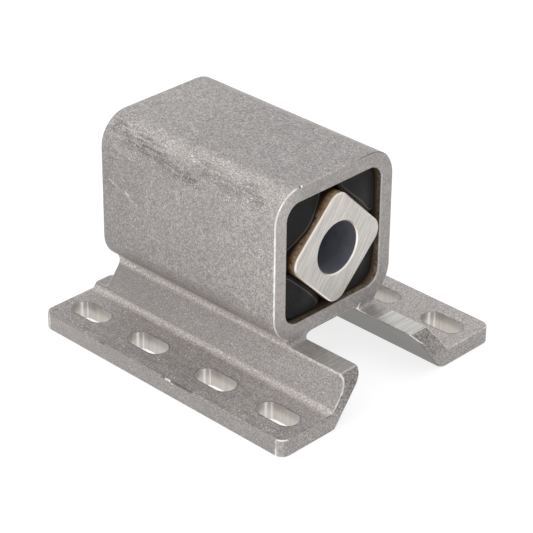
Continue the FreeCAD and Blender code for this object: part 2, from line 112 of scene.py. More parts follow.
# The floor's half width, and the soft lights: name, place, size and power.
FLOOR_HALF = 6.0
LIGHTS = (
    ("key_light", (-0.3, -0.9, 0.9), 0.9, 2.5),
    ("top_light", (0.1, 0.0, 1.3), 1.2, 4.0),
    ("front_light", (0.75, -0.78, 0.66), 0.5, 0.75),
)

# Places of wear and of painted highlights: the stain on the legs' flats, a nick in the tube's front edge,
# and the lines of painted highlight in each slot's rear end, from the middle of the slot.
LEG_STAIN_END = TUBE_FRONT + 9 * MM
RIM_NICK = Vector((TUBE_FRONT, TUBE_CORNER - TUBE_HALF, AXIS.z + TUBE_HALF))
SLOT_GLINT_LINES = (-8.1 * MM, -6.7 * MM)

# Rub marks on the shoulders: start, end, how far the surface faces up at each, and strength.
RUBS = (
    (TUBE_REAR, TUBE_REAR + 14 * MM, 0.85, 0.7, 0.8),
    (TUBE_REAR + 8 * MM, TUBE_REAR + 52 * MM, 0.62, 0.25, 1.0),
    (TUBE_REAR + 44 * MM, TUBE_REAR + 70 * MM, 0.66, 0.58, 0.6),
    (TUBE_REAR + 64 * MM, TUBE_REAR + 84 * MM, 0.6, 0.46, 0.7),
)
RUB_TAPER = 5 * MM


def on_side(along, height):
    """A place on the tube's left side, given in millimetres."""
    return (along * MM, -TUBE_HALF, height * MM)


def on_foot(along, drop=0.0):
    """A place at the left foot's outer top edge or below it, given in millimetres."""
    return (along * MM, -FOOT_SIDE, FOOT_TOP - drop * MM)


# Single scratches, gouges and cracks: start, end, width, and how much of the colour shows.
BRIGHT_LINES = (
    (on_side(-52.0, 56.6), on_side(-36.6, 50.8), 0.25 * MM, 0.3),
    (on_side(-50.6, 56.4), on_side(-49.0, 55.2), 0.32 * MM, 0.7),
    (on_side(-42.5, 54.3), on_side(-41.1, 53.3), 0.36 * MM, 0.8),
    (on_foot(3.9, 0.3), on_foot(6.4, 0.3), 0.5 * MM, 0.9),
    (on_foot(7.2, 0.9), on_foot(7.8, 0.9), 0.4 * MM, 0.8),
)
DARK_LINES = (
    (on_foot(-30.2), on_foot(-28.8), 0.8 * MM, 0.9),
    (on_foot(2.0), on_foot(3.6), 0.7 * MM, 0.7),
    (on_foot(7.0), on_foot(17.0), 0.8 * MM, 0.9),
)


class HousingFinish(bpy.types.PropertyGroup):
    """Colours and grain of the tumbled housing."""

    tumbled: FloatVectorProperty(
        name="Tumbled alloy",
        description="Colour of the dull tumbled surface",
        subtype="COLOR",
        default=(0.41, 0.384, 0.371),
    )
    # Also the colour of painted shade along edges and in nicks.
    rubbed_and_shade: FloatVectorProperty(
        name="Rubbed patches",
        description="Colour of the dark rub marks along the tube's shoulder",
        subtype="COLOR",
        default=(0.185, 0.174, 0.165),
    )
    # Bright metal, also the colour of painted highlights and glints.
    bare_and_glints: FloatVectorProperty(
        name="Bare edges",
        description="Colour of bright metal on edges, flecks and scratches",
        subtype="COLOR",
        default=(0.97, 0.955, 0.94),
    )
    milled: FloatVectorProperty(
        name="Milled flats",
        description="Colour of the milled leg flats",
        subtype="COLOR",
        default=(0.655, 0.638, 0.62),
    )
    slot: FloatVectorProperty(
        name="Slot walls",
        description="Colour of the machined slot walls",
        subtype="COLOR",
        default=(0.593, 0.556, 0.515),
    )
    # Painted shade: the channel walls are coloured dark for the shadowed floor under the tube, which they face.
    channel: FloatVectorProperty(
        name="Channel walls",
        description="Colour of the smooth walls between the legs",
        subtype="COLOR",
        default=(0.132, 0.125, 0.12),
    )
    stain: FloatVectorProperty(
        name="Mouth stain",
        description="Colour of the brown stain inside the tube's mouth",
        subtype="COLOR",
        default=(0.27, 0.214, 0.152),
    )
    rust: FloatVectorProperty(
        name="Mouth rust",
        description="Colour of the rusty stain where the rubber meets the tube",
        subtype="COLOR",
        default=(0.15, 0.094, 0.054),
    )
    # Painted shade: a darker, less warm grey laid over the smoother top.
    top_shade: FloatVectorProperty(
        name="Top",
        description="Cooler colour of the smooth top",
        subtype="COLOR",
        default=(0.285, 0.274, 0.278),
    )
    metal_share: FloatProperty(
        name="Metal share",
        description="How much of the dull skin reflects like bare metal",
        default=0.7,
        subtype="FACTOR",
    )
    grain_size: FloatProperty(
        name="Grain size",
        description="Size of the tumbled grain",
        default=0.55 * MM,
        unit="LENGTH",
    )
    patch_size: FloatProperty(
        name="Patch size",
        description="Size of the cloudy patches",
        default=9 * MM,
        unit="LENGTH",
    )
    edge_width: FloatProperty(
        name="Edge width",
        description="Width of the worn strip along edges",
        default=0.6 * MM,
        unit="LENGTH",
    )


class CoreFinish(bpy.types.PropertyGroup):
    """Colours and tool marks of the square core."""

    ground: FloatVectorProperty(
        name="Ground steel",
        description="Colour of the ground end faces",
        subtype="COLOR",
        default=(0.556, 0.535, 0.511),
    )
    stain: FloatVectorProperty(
        name="Side stain",
        description="Colour of the brown stain on the core's sides",
        subtype="COLOR",
        default=(0.34, 0.255, 0.175),
    )
    bore: FloatVectorProperty(
        name="Bore",
        description="Colour of the dark oxide in the bore",
        subtype="COLOR",
        default=(0.205, 0.211, 0.246),
    )
    # Bright chamfers: bright metal, partly painted highlight.
    bright: FloatVectorProperty(
        name="Bright edges",
        description="Colour of the bright chamfers",
        subtype="COLOR",
        default=(0.95, 0.9, 0.82),
    )
    rust: FloatVectorProperty(
        name="Side rust",
        description="Colour of the rusty stain where the rubber meets the core",
        subtype="COLOR",
        default=(0.26, 0.142, 0.065),
    )
    line_width: FloatProperty(
        name="Line width",
        description="Width of the grinding lines on the end faces",
        default=0.3 * MM,
        unit="LENGTH",
    )
    edge_width: FloatProperty(
        name="Edge width",
        description="Width of the bright strip along the core's edges",
        default=0.7 * MM,
        unit="LENGTH",
    )


class RubberInserts(bpy.types.PropertyGroup):
    """Sizes and colours of the rubber inserts."""

    rubber: FloatVectorProperty(
        name="Rubber",
        description="Colour of the rubber",
        subtype="COLOR",
        default=(0.0075, 0.0074, 0.0072),
    )
    # Dust along the rims, with a painted sheen.
    dust_and_sheen: FloatVectorProperty(
        name="Rim bloom",
        description="Paler colour along the rims of the rubber's end faces",
        subtype="COLOR",
        default=(0.14, 0.122, 0.105),
    )
    lobe_reach: FloatProperty(
        name="Lobe reach",
        description="Length of the rounding at each lobe, along the wall",
        default=8.4 * MM,
        unit="LENGTH",
    )
    corner_reach: FloatProperty(
        name="Corner reach",
        description="Length of the rounding in the tube's corner",
        default=6.8 * MM,
        unit="LENGTH",
    )
    clearance: FloatProperty(
        name="Clearance",
        description="Gap between the rubber and the metal around it",
        default=0.05 * MM,
        unit="LENGTH",
    )
    end_round: FloatProperty(
        name="End round",
        description="Rounding of the rubber's end edges",
        default=0.7 * MM,
        unit="LENGTH",
    )
    rim_reach: FloatProperty(
        name="Rim reach",
        description="Distance from the core's flat over which the pale rim fades",
        default=6 * MM,
        unit="LENGTH",
    )
    rim_step: FloatProperty(
        name="Rim step",
        description="Height of the shallow lip along the rim",
        default=0.25 * MM,
        unit="LENGTH",
    )
    lip_width: FloatProperty(
        name="Lip width",
        description="Width of each slope of the lip, and of the band outside it",
        default=0.4 * MM,
        unit="LENGTH",
    )
    lip_inset: FloatProperty(
        name="Lip inset",
        description="How far the lip is moved off the edge that faces the core",
        default=0.3 * MM,
        unit="LENGTH",
    )
    bulge: FloatProperty(
        name="Bulge",
        description="How far the core's squeeze pushes the rubber out at both ends",
        default=2.9 * MM,
        unit="LENGTH",
    )
    bulge_reach: FloatProperty(
        name="Bulge reach",
        description="Distance from the middle of the core's flat over which the bulge fades",
        default=14 * MM,
        unit="LENGTH",
    )
    bulge_depth: FloatProperty(
        name="Bulge depth",
        description="Distance from the ends over which the bulge fades inside the tube",
        default=12 * MM,
        unit="LENGTH",
    )
    still_radius: FloatProperty(
        name="Still radius",
        description="Distance from the bore's axis beyond which the rubber stays with the tube",
        default=22.5 * MM,
        unit="LENGTH",
    )


class Studio(bpy.types.PropertyGroup):
    """Camera, floor and lights."""

    azimuth: FloatProperty(
        name="Azimuth",
        description="Turn of the camera round the mount",
        default=math.radians(44.125),
        subtype="ANGLE",
    )
    elevation: FloatProperty(
        name="Elevation",
        description="Height of the camera over the horizon",
        default=math.radians(29.657),
        subtype="ANGLE",
    )
    roll: FloatProperty(
        name="Roll",
        description="Tilt of the camera about its own axis",
        default=math.radians(0.615),
        subtype="ANGLE",
    )
    distance: FloatProperty(
        name="Distance",
        description="Distance from the camera to the point it looks at",
        default=788.68 * MM,
        unit="LENGTH",
    )
    aim: FloatVectorProperty(
        name="Aim",
        description="Point that the camera looks at",
        subtype="TRANSLATION",
        unit="LENGTH",
        default=(13.836 * MM, -14.525 * MM, 39.969 * MM),
    )
    lens: FloatProperty(
        name="Lens",
        description="Focal length of the lens in millimetres, on a full frame sensor",
        default=150.67,
    )
    floor: FloatVectorProperty(
        name="Floor",
        description="Colour of the floor",
        subtype="COLOR",
        default=(0.28, 0.28, 0.28),
    )
    floor_glow: FloatProperty(
        name="Floor glow",
        description="Brightness of the light that comes up through the floor",
        default=0.78,
    )
    tent: FloatProperty(
        name="Tent light",
        description="Brightness of the even light all round",
        default=0.8,
    )


class Nodes:
    """Adds nodes to one shader tree and fills or links their inputs."""

    def __init__(self, tree):
        self.tree = tree

    def add(self, kind, inputs, output=0, **settings):
        """Add a node and give back one of its outputs."""
        made = self.tree.nodes.new(kind)
        for name, value in settings.items():
            setattr(made, name, value)
        for key, value in inputs.items():
            self.fill(made.inputs[key], value)
        return made.outputs[output]

    def fill(self, socket, value):
        """Link a socket to another one, or set it to a constant."""
        if isinstance(value, bpy.types.NodeSocket):
            self.tree.links.new(value, socket)
        elif getattr(socket, "type", "") == "RGBA" and len(value) == 3:
            socket.default_value = (*value, 1)
        else:
            socket.default_value = value

    def math(self, operation, first, second=0.0):
        """Reckon with one value or two."""
        return self.add("ShaderNodeMath", {0: first, 1: second}, operation=operation)

    def product(self, first, *others):
        """Multiply values."""
        for other in others:
            first = self.math("MULTIPLY", first, other)
        return first

    def length(self, first, second):
        """The length of a line that goes so far one way and so far across it."""
        squares = self.math("ADD", self.product(first, first), self.product(second, second))
        return self.math("SQRT", squares)

    def size(self, value):
        """A value without its sign."""
        return self.math("ABSOLUTE", value)

    def parts(self, vector):
        """The X, Y and Z of a vector."""
        node = self.tree.nodes.new("ShaderNodeSeparateXYZ")
        self.tree.links.new(vector, node.inputs[0])
        return list(node.outputs)

    def dot(self, first, second):
        """How far one vector goes along another."""
        inputs = {0: first, 1: second}
        return self.add("ShaderNodeVectorMath", inputs, "Value", operation="DOT_PRODUCT")

    def away(self, spot, place):
        """Distance of a point from a place."""
        return self.add("ShaderNodeVectorMath", {0: spot, 1: place}, "Value", operation="DISTANCE")

    def from_line(self, spot, start, end):
        """Distance of a point from the straight line between two places."""
        run = Vector(end) - Vector(start)
        reach = self.add("ShaderNodeVectorMath", {0: spot, 1: start}, operation="SUBTRACT")
        share = self.dot(reach, tuple(run / run.length_squared))
        share = self.add("ShaderNodeClamp", {"Value": share})
        along = self.add("ShaderNodeVectorMath", {0: tuple(run), "Scale": share}, operation="SCALE")
        return self.away(reach, along)

    def fade(self, value, low, high, at_low=0.0, at_high=1.0):
        """Go smoothly from at_low to at_high while a value goes from low to high."""
        inputs = {
            "Value": value,
            "From Min": low,
            "From Max": high,
            "To Min": at_low,
            "To Max": at_high,
        }
        return self.add("ShaderNodeMapRange", inputs, interpolation_type="SMOOTHSTEP")

    def band(self, value, low, high, soft):
        """A mask that is full between two limits and fades out beyond them."""
        rise = self.fade(value, low - soft, low)
        fall = self.fade(value, high, high + soft, 1.0, 0.0)
        return self.product(rise, fall)

    def tint(self, mask, below, above):
        """Lay one colour over another where a mask is full."""
        return self.add("ShaderNodeMix", {0: mask, 6: below, 7: above}, 2, data_type="RGBA")

    def level(self, mask, below, above):
        """Go from one value to another where a mask is full."""
        return self.add("ShaderNodeMix", {0: mask, 2: below, 3: above}, data_type="FLOAT")

    def weigh(self, mask, pattern, below, above):
        """Weaken a mask by a pattern, from one share to another where the pattern is full."""
        return self.product(mask, self.level(pattern, below, above))

    def lay(self, layers, colour, rough):
        """Lay layers of a mask, a colour and a roughness over a surface, one after the other."""
        for mask, tone, shine in layers:
            colour = self.tint(mask, colour, tone)
            rough = self.level(mask, rough, shine)
        return colour, rough

    def clouds(self, spot, size, detail, roughness, low, high):
        """A noise pattern that is empty below one limit and full above another."""
        return self.fade(self.noise(spot, size, detail, roughness), low, high)

    def noise(self, spot, size, detail, roughness=0.55):
        """Noise with features of a size in metres."""
        inputs = {"Vector": spot, "Scale": self.per(size), "Detail": detail, "Roughness": roughness}
        return self.add("ShaderNodeTexNoise", inputs)

    def per(self, size):
        """The noise scale that gives features of a size in metres."""
        if isinstance(size, bpy.types.NodeSocket):
            return self.math("DIVIDE", 1.0, size)
        return 1 / size

    def group(self, tree, inputs):
        """Place a node group and give back its outputs by name."""
        made = self.tree.nodes.new("ShaderNodeGroup")
        made.node_tree = tree
        for key, value in inputs.items():
            self.fill(made.inputs[key], value)
        return {output.name: output for output in made.outputs}


def new_group(name, inputs, outputs):
    """Start a shader node group with named sockets."""
    tree = bpy.data.node_groups.new(name, "ShaderNodeTree")
    for socket, kind in inputs.items():
        tree.interface.new_socket(socket, in_out="INPUT", socket_type=f"NodeSocket{kind}")
    for socket, kind in outputs.items():
        tree.interface.new_socket(socket, in_out="OUTPUT", socket_type=f"NodeSocket{kind}")
    given = tree.nodes.new("NodeGroupInput").outputs
    result = tree.nodes.new("NodeGroupOutput").inputs
    return tree, Nodes(tree), given, result


def once(make):
    """Build a node group the first time it is asked for and keep it."""
    kept = {}

    def get():
        if "tree" not in kept:
            kept["tree"] = make()
        return kept["tree"]

    return get


@once
def grain_group():
    """Fine grain, bright flecks, dark pits and cloudy patches of a tumbled surface."""
    tree, nodes, given, result = new_group(
        "Tumbled grain",
        {"Position": "Vector", "Grain Size": "Float", "Patch Size": "Float"},
        dict.fromkeys(("Grain", "Flecks", "Pits", "Clusters", "Patches"), "Float"),
    )
    spot = given["Position"]
    grain = nodes.noise(spot, given["Grain Size"], 2.0, 0.75)
    coarse = nodes.noise(spot, given["Grain Size"], 1.0, 0.5)
    patches = nodes.noise(spot, given["Patch Size"], 4.0, 0.62)
    crowds = nodes.noise(spot, nodes.product(given["Patch Size"], 0.6), 2.0)
    clusters = nodes.fade(crowds, 0.45, 0.65, 0.2, 1.0)
    nodes.fill(result["Grain"], nodes.fade(grain, 0.35, 0.65))
    nodes.fill(result["Flecks"], nodes.product(nodes.fade(coarse, 0.64, 0.74), clusters))
    nodes.fill(result["Pits"], nodes.fade(coarse, 0.34, 0.26))
    nodes.fill(result["Clusters"], clusters)
    nodes.fill(result["Patches"], nodes.fade(patches, 0.36, 0.66))
    return tree


@once
def edge_group():
    """Masks along edges, where the rounded normal leaves the true one, for wear and for painted light and shade.
    """
    tree, nodes, given, result = new_group(
        "Edge wear and painted light",
        {"Position": "Vector", "Width": "Float"},
        dict.fromkeys(("Edges", "End Edges", "Long Edges", "Nicks"), "Float"),
    )
    rounded = nodes.add("ShaderNodeBevel", {"Radius": given["Width"]}, samples=6)
    true = nodes.add("ShaderNodeNewGeometry", {}, "Normal")
    turned = nodes.math("SUBTRACT", 1.0, nodes.dot(rounded, true))
    broken = nodes.noise(given["Position"], nodes.product(given["Width"], 5.0), 3.0)
    edge_wear_and_light = nodes.product(nodes.fade(turned, 0.01, 0.14), nodes.fade(broken, 0.3, 0.55, 0.35, 1.0))
    endwise = nodes.size(nodes.parts(rounded)[0])
    dents = nodes.noise(given["Position"], nodes.product(given["Width"], 3.5), 1.0)
    nicks = nodes.product(nodes.fade(turned, 0.004, 0.02), nodes.fade(dents, 0.68, 0.76))
    nodes.fill(result["Edges"], edge_wear_and_light)
    nodes.fill(result["End Edges"], nodes.product(edge_wear_and_light, nodes.band(endwise, 0.3, 0.95, 0.04)))
    nodes.fill(result["Long Edges"], nodes.product(edge_wear_and_light, nodes.fade(endwise, 0.2, 0.1)))
    nodes.fill(result["Nicks"], nicks)
    return tree


@once
def tool_line_group():
    """Straight tool marks along a direction."""
    tree, nodes, given, result = new_group(
        "Tool lines",
        {"Position": "Vector", "Direction": "Vector", "Width": "Float", "Stretch": "Float"},
        {"Lines": "Float"},
    )
    reach = nodes.dot(given["Position"], given["Direction"])
    shrink = nodes.product(reach, nodes.math("SUBTRACT", 1.0, given["Stretch"]))
    scaled = {0: given["Direction"], "Scale": shrink}
    along = nodes.add("ShaderNodeVectorMath", scaled, operation="SCALE")
    parted = {0: given["Position"], 1: along}
    drawn = nodes.add("ShaderNodeVectorMath", parted, operation="SUBTRACT")
    nodes.fill(result["Lines"], nodes.noise(drawn, given["Width"], 3.0, 0.6))
    return tree


def new_material(name):
    """Start a material with one Principled shader."""
    material = bpy.data.materials.new(name)
    material.use_nodes = True
    return material, Nodes(material.node_tree), material.node_tree.nodes["Principled BSDF"]


def feed(nodes, shader, colour, rough, bump):
    """Feed a shader its colour, its roughness and its relief."""
    nodes.fill(shader.inputs["Base Color"], colour)
    nodes.fill(shader.inputs["Roughness"], rough)
    nodes.fill(shader.inputs["Normal"], nodes.add("ShaderNodeBump", bump))


def tool_lines(nodes, spot, direction, width, stretch=0.02):
    """Straight tool marks of a width along a direction."""
    inputs = {"Position": spot, "Direction": direction, "Width": width, "Stretch": stretch}
    return nodes.group(tool_line_group(), inputs)["Lines"]


def shades(nodes, mask, colour, dark, light):
    """Vary one colour between a darker and a lighter shade of it."""
    colour = Vector(colour)
    return nodes.tint(mask, tuple(colour * dark), tuple(colour * light))


def behind_end(nodes, along, rear, front):
    """Distance from the nearer of two end faces, into the piece."""
    off_middle = nodes.size(nodes.math("SUBTRACT", along, (front + rear) / 2))
    return nodes.math("SUBTRACT", (front - rear) / 2, off_middle)


class HousingPoint:
    """Where a point of the housing lies and which way it faces, as shader values."""

    def __init__(self, nodes):
        self.spot = nodes.add("ShaderNodeTexCoord", {}, "Object")
        facing = nodes.add("ShaderNodeTexCoord", {}, "Normal")
        self.along, self.across, self.height = nodes.parts(self.spot)
        facing_x, self.facing_y, self.facing_z = nodes.parts(facing)
        self.endwise = nodes.size(facing_x)
        self.outward = nodes.product(nodes.math("SIGN", self.across), self.facing_y)
        self.side = nodes.size(self.across)
        self.from_middle = nodes.size(self.along)
        self.off_axis = nodes.size(nodes.math("SUBTRACT", self.height, AXIS.z))
        self.low = nodes.fade(self.height, LEG_TOP + MM, LEG_TOP)
        self.high = nodes.fade(self.height, LEG_TOP, LEG_TOP + MM)
        self.not_end = nodes.fade(self.endwise, 0.5, 0.3)


def along_hollow(nodes, here, middle, radius, reach):
    """A mask along the hollow of a radius whose middle is at a place beside a leg."""
    sideways = nodes.math("SUBTRACT", here.side, middle[0])
    upwards = nodes.math("SUBTRACT", here.height, middle[1])
    return nodes.fade(nodes.length(sideways, upwards), radius + reach, radius)


def painted_hollow_light(nodes, here):
    """A mask of painted light: pale strips in the groove over each leg and at its foot."""
    sideways = nodes.math("SUBTRACT", here.side, GROOVE_MIDDLE[0])
    upwards = nodes.math("SUBTRACT", here.height, GROOVE_MIDDLE[1])
    climb = nodes.math(
        "ADD",
        nodes.product(sideways, -math.sin(LEG_LEAN)),
        nodes.product(upwards, math.cos(LEG_LEAN)),
    )
    groove = nodes.product(
        along_hollow(nodes, here, GROOVE_MIDDLE, GROOVE_RADIUS, 1.3 * MM),
        nodes.fade(climb, 0.8 * MM, 2.0 * MM),
        nodes.fade(climb, 6.0 * MM, 3.0 * MM),
    )
    root = nodes.product(along_hollow(nodes, here, ROOT_MIDDLE, ROOT_RADIUS, 0.25 * MM), 0.6)
    return nodes.math("MAXIMUM", groove, root)


def from_slot(nodes, here):
    """Distance from the middle line of the nearest slot."""
    sideways = nodes.math("SUBTRACT", here.side, SLOT_ROW)
    distance = FOOT_END
    for centre in SLOT_CENTRES:
        lengthways = nodes.size(nodes.math("SUBTRACT", here.from_middle, centre))
        past_straight = nodes.math("SUBTRACT", lengthways, SLOT_STRAIGHT)
        past_straight = nodes.math("MAXIMUM", past_straight, 0.0)
        distance = nodes.math("MINIMUM", distance, nodes.length(past_straight, sideways))
    return distance


def tube_zones(nodes, here):
    """Masks of the tube's faces, and of the ends and the side that get painted light and shade."""
    mouth = CAVITY_HALF + 0.4 * MM
    shoulder = AXIS.z + TUBE_HALF - TUBE_CORNER
    return {
        "mouth": nodes.product(
            nodes.fade(here.side, mouth + 0.2 * MM, mouth),
            nodes.fade(here.off_axis, mouth + 0.2 * MM, mouth),
            nodes.fade(here.endwise, 0.6, 0.4),
        ),
        "tube_end": nodes.product(nodes.fade(here.endwise, 0.85, 0.95), here.high),
        "tube_side": nodes.product(nodes.fade(here.outward, 0.6, 0.9), here.high),
        "shoulder": nodes.product(
            nodes.band(here.facing_z, 0.15, 0.93, 0.1),
            nodes.fade(here.height, shoulder - MM, shoulder),
        ),
        # The shoulders' crest, where a painted highlight lies, partly burnish.
        "crest": nodes.product(
            nodes.band(here.facing_z, 0.75, 0.93, 0.15),
            nodes.fade(here.height, shoulder, shoulder + MM),
        ),
        "top": nodes.product(
            nodes.fade(here.facing_z, 0.9, 1.0),
            nodes.fade(here.height, shoulder, AXIS.z + TUBE_HALF),
        ),
        "front": nodes.fade(here.along, -5 * MM, TUBE_FRONT),
        "rear": nodes.fade(here.along, -10 * MM, TUBE_REAR),
        "left": nodes.fade(here.across, -LEG_INSIDE, -CAVITY_HALF),
    }


def leg_zones(nodes, here):
    """Masks of the legs' faces, of the stain and the step on their flats, and of painted light and shade on their
    flanks and hollows.
    """
    leg_flat = nodes.product(
        nodes.fade(here.facing_z, 0.95, 0.99),
        nodes.fade(here.along, TUBE_FRONT + 0.4 * MM, TUBE_FRONT + 1.2 * MM),
        nodes.band(here.height, LEG_FLAT - MM, LEG_FLAT + MM, 0.2 * MM),
    )
    stained = nodes.math(
        "MAXIMUM",
        nodes.fade(here.along, LEG_STAIN_END + 0.4 * MM, LEG_STAIN_END - 0.2 * MM),
        nodes.fade(here.across, 0.0, -LEG_INSIDE, 0.0, 0.7),
    )
    return {
        # Painted light in the groove over each leg and at its foot.
        "hollow_light": nodes.product(painted_hollow_light(nodes, here), here.not_end),
        # Painted shade on the legs' outer flanks, stronger towards the rear.
        "leg_flank_shade": nodes.product(
            nodes.band(here.facing_z, 0.52, 0.7, 0.08),
            nodes.fade(here.along, FOOT_END, -FOOT_END, 0.2, 1.0),
            here.low,
            here.not_end,
        ),
        "leg_flat": leg_flat,
        "leg_stain": nodes.product(leg_flat, stained),
        "leg_step": nodes.product(
            leg_flat,
            nodes.band(here.along, LEG_STAIN_END, LEG_STAIN_END + 0.3 * MM, 0.2 * MM),
            nodes.fade(here.across, 0.0, LEG_INSIDE),
        ),
        "leg_end": nodes.product(
            nodes.fade(here.from_middle, FOOT_END - LEG_NOSE - 0.6 * MM, FOOT_END - LEG_NOSE),
            nodes.fade(here.endwise, 0.3, 0.42),
            nodes.fade(here.height, FOOT_TOP - 2 * MM, FOOT_TOP + 2 * MM, 0.45, 1.0),
            here.low,
        ),
        "channel": nodes.product(
            nodes.fade(here.outward, -0.3, -0.5),
            nodes.fade(here.facing_z, 0.25, 0.0),
            here.low,
            here.not_end,
        ),
    }


def foot_zones(nodes, here):
    """Masks of the feet's faces and of their slots."""
    slot = from_slot(nodes, here)
    foot_top = nodes.product(
        nodes.fade(here.facing_z, 0.9, 0.98),
        nodes.fade(here.height, FOOT_TOP + MM, FOOT_TOP + 0.5 * MM),
    )
    return {
        "foot_top": foot_top,
        # Foot tops towards the leg, where the left foot gets painted light.
        "foot_inside": nodes.product(
            foot_top,
            nodes.fade(here.side, FOOT_SIDE - 4 * MM, ROOT_MIDDLE[0]),
        ),
        "foot_side": nodes.product(
            nodes.fade(here.outward, 0.6, 0.9),
            nodes.fade(here.height, FOOT_TOP + MM, FOOT_TOP),
            nodes.fade(here.along, -FOOT_END, 0.0, 0.25, 1.0),
        ),
        "slot_wall": nodes.product(
            nodes.fade(slot, SLOT_RADIUS + 0.3 * MM, SLOT_RADIUS + 0.2 * MM),
            nodes.fade(nodes.size(here.facing_z), 0.6, 0.4),
        ),
        "slot_shade": nodes.fade(here.height, FOOT_TOP - 4.5 * MM, FOOT_TOP - 1.5 * MM),
        # Painted shade: a dark line round the rim of each slot.
        "slot_rim_shade": nodes.product(
            foot_top,
            nodes.fade(slot, SLOT_RADIUS + 0.55 * MM, SLOT_RADIUS + 0.25 * MM),
        ),
    }


def rim_light_and_wear(nodes, here):
    """Masks of the tube's end edges: bright metal that is partly painted highlight, painted shade along the top
    edge towards the right, and one nick with painted shade in its pit.
    """
    outermost = nodes.math("MAXIMUM", here.side, here.off_axis)
    outside = nodes.fade(outermost, CAVITY_HALF + MM, CAVITY_HALF + 2 * MM)
    chamfer = nodes.product(nodes.band(here.endwise, 0.69, 0.725, 0.01), here.high)
    raised = RIM_NICK + Vector((0, 0.9 * MM, 0))
    return {
        # Bright metal on the end edges, partly painted highlight.
        "rim": nodes.product(
            chamfer,
            nodes.fade(here.facing_z, 0.706, 0.695),
            nodes.level(outside, 0.2, 1.0),
        ),
        # Painted shade along the top end edge, stronger towards the right.
        "top_rim_shade": nodes.product(
            chamfer,
            nodes.fade(here.facing_z, 0.3, 0.5),
            outside,
            nodes.fade(here.across, 2 * MM, 20 * MM, 0.0, 0.9),
        ),
        # A nick: bright metal beside painted shade in its pit.
        "nick": nodes.fade(nodes.away(here.spot, tuple(raised)), 0.7 * MM, 0.4 * MM),
        "nick_pit": nodes.fade(nodes.away(here.spot, tuple(RIM_NICK)), 0.65 * MM, 0.45 * MM),
    }


def leg_wear(nodes, here):
    """Masks of the bright nose edges, and of the burr that the cutter left beside the tube."""
    nose = nodes.product(
        nodes.fade(here.endwise, 0.15, 0.22),
        nodes.band(nodes.size(here.facing_y), 0.38, 0.88, 0.04),
        nodes.fade(here.facing_z, -0.3, -0.15),
        nodes.fade(here.from_middle, LEG_NOSE_START, LEG_NOSE_START + MM),
        nodes.fade(here.side, SLOT_ROW, SLOT_ROW - 2 * MM),
        nodes.fade(here.height, FOOT_TOP - 2 * MM, FOOT_TOP + 3 * MM),
    )
    burr = nodes.product(
        nodes.fade(here.outward, -0.4, -0.5),
        nodes.fade(here.facing_z, -0.58, -0.45),
        nodes.band(here.side, LEG_INSIDE - MM, LEG_INSIDE + MM, 0.3 * MM),
        nodes.band(here.along, TUBE_FRONT - 0.2 * MM, LEG_STAIN_END, MM),
        nodes.fade(here.along, TUBE_FRONT + 3 * MM, TUBE_FRONT + 5 * MM, 1.0, 0.3),
        nodes.fade(here.height, LEG_FLAT - 0.6 * MM, LEG_FLAT - 0.3 * MM),
    )
    climb = nodes.math("SUBTRACT", here.height, LEG_FLAT)
    stroke_foot = nodes.math("SUBTRACT", here.across, nodes.product(climb, 0.8))
    off_stroke = nodes.size(nodes.math("SUBTRACT", stroke_foot, LEG_INSIDE - 0.9 * MM))
    stroke = nodes.product(
        nodes.fade(off_stroke, 0.5 * MM, 0.2 * MM),
        nodes.band(climb, 0.4 * MM, 2.4 * MM, 0.2 * MM),
        nodes.band(here.along, TUBE_FRONT - 0.2 * MM, TUBE_FRONT + 2 * MM, 0.2 * MM),
    )
    return {"nose": nose, "burr": nodes.math("MAXIMUM", burr, stroke)}


def foot_wear_and_glints(nodes, here):
    """Masks of the bright top edges at the feet's ends, and of a painted glint on their rounded corners."""
    corner_start = FOOT_SIDE - FOOT_CORNER
    corner_behind = FOOT_END - FOOT_CORNER
    on_corner = nodes.fade(here.side, corner_start, corner_start + MM)
    on_right = nodes.fade(here.across, 0.0, LEG_INSIDE, 0.0, 0.7)
    line = nodes.band(here.endwise, 0.12, 0.2, 0.06)
    rounding = nodes.product(nodes.band(here.endwise, 0.15, 0.75, 0.12), 0.3)
    return {
        "foot_rim": nodes.product(
            nodes.band(here.facing_z, 0.6, 0.8, 0.05),
            nodes.fade(here.from_middle, corner_behind, corner_behind + MM),
            nodes.band(here.height, FOOT_TOP - 0.6 * MM, FOOT_TOP + 0.2 * MM, 0.1 * MM),
            nodes.math("MAXIMUM", on_corner, on_right),
        ),
        # A painted glint on the rounded corners.
        "corner": nodes.product(
            nodes.math("MAXIMUM", line, rounding),
            nodes.fade(here.from_middle, corner_behind - 0.3 * MM, corner_behind),
            nodes.fade(here.side, corner_start, FOOT_SIDE - 2 * MM),
            nodes.fade(here.height, FOOT_TOP, FOOT_TOP - 0.6 * MM),
        ),
    }


def rub_marks(nodes, here):
    """Dark rub marks that run down and along both shoulders of the tube."""
    flat = TUBE_HALF - TUBE_CORNER
    beside = nodes.fade(here.side, flat, flat + MM)
    sway = nodes.math("SUBTRACT", nodes.noise(here.spot, 9 * MM, 3.0), 0.5)
    swayed = nodes.math("ADD", here.facing_z, nodes.product(sway, 0.8))
    smear = nodes.fade(tool_lines(nodes, here.spot, (1.0, 0.0, -0.1), 1.1 * MM, 0.22), 0.36, 0.6)
    marks = 0.0
    for start, end, high, low, share in RUBS:
        path = nodes.fade(here.along, start, end, high, low)
        off_path = nodes.size(nodes.math("SUBTRACT", swayed, path))
        run = nodes.band(here.along, start + RUB_TAPER, end - RUB_TAPER, 6 * MM)
        mark = nodes.product(nodes.fade(off_path, 0.3, 0.04), run, share)
        marks = nodes.math("MAXIMUM", marks, mark)
    return nodes.product(marks, beside, smear)


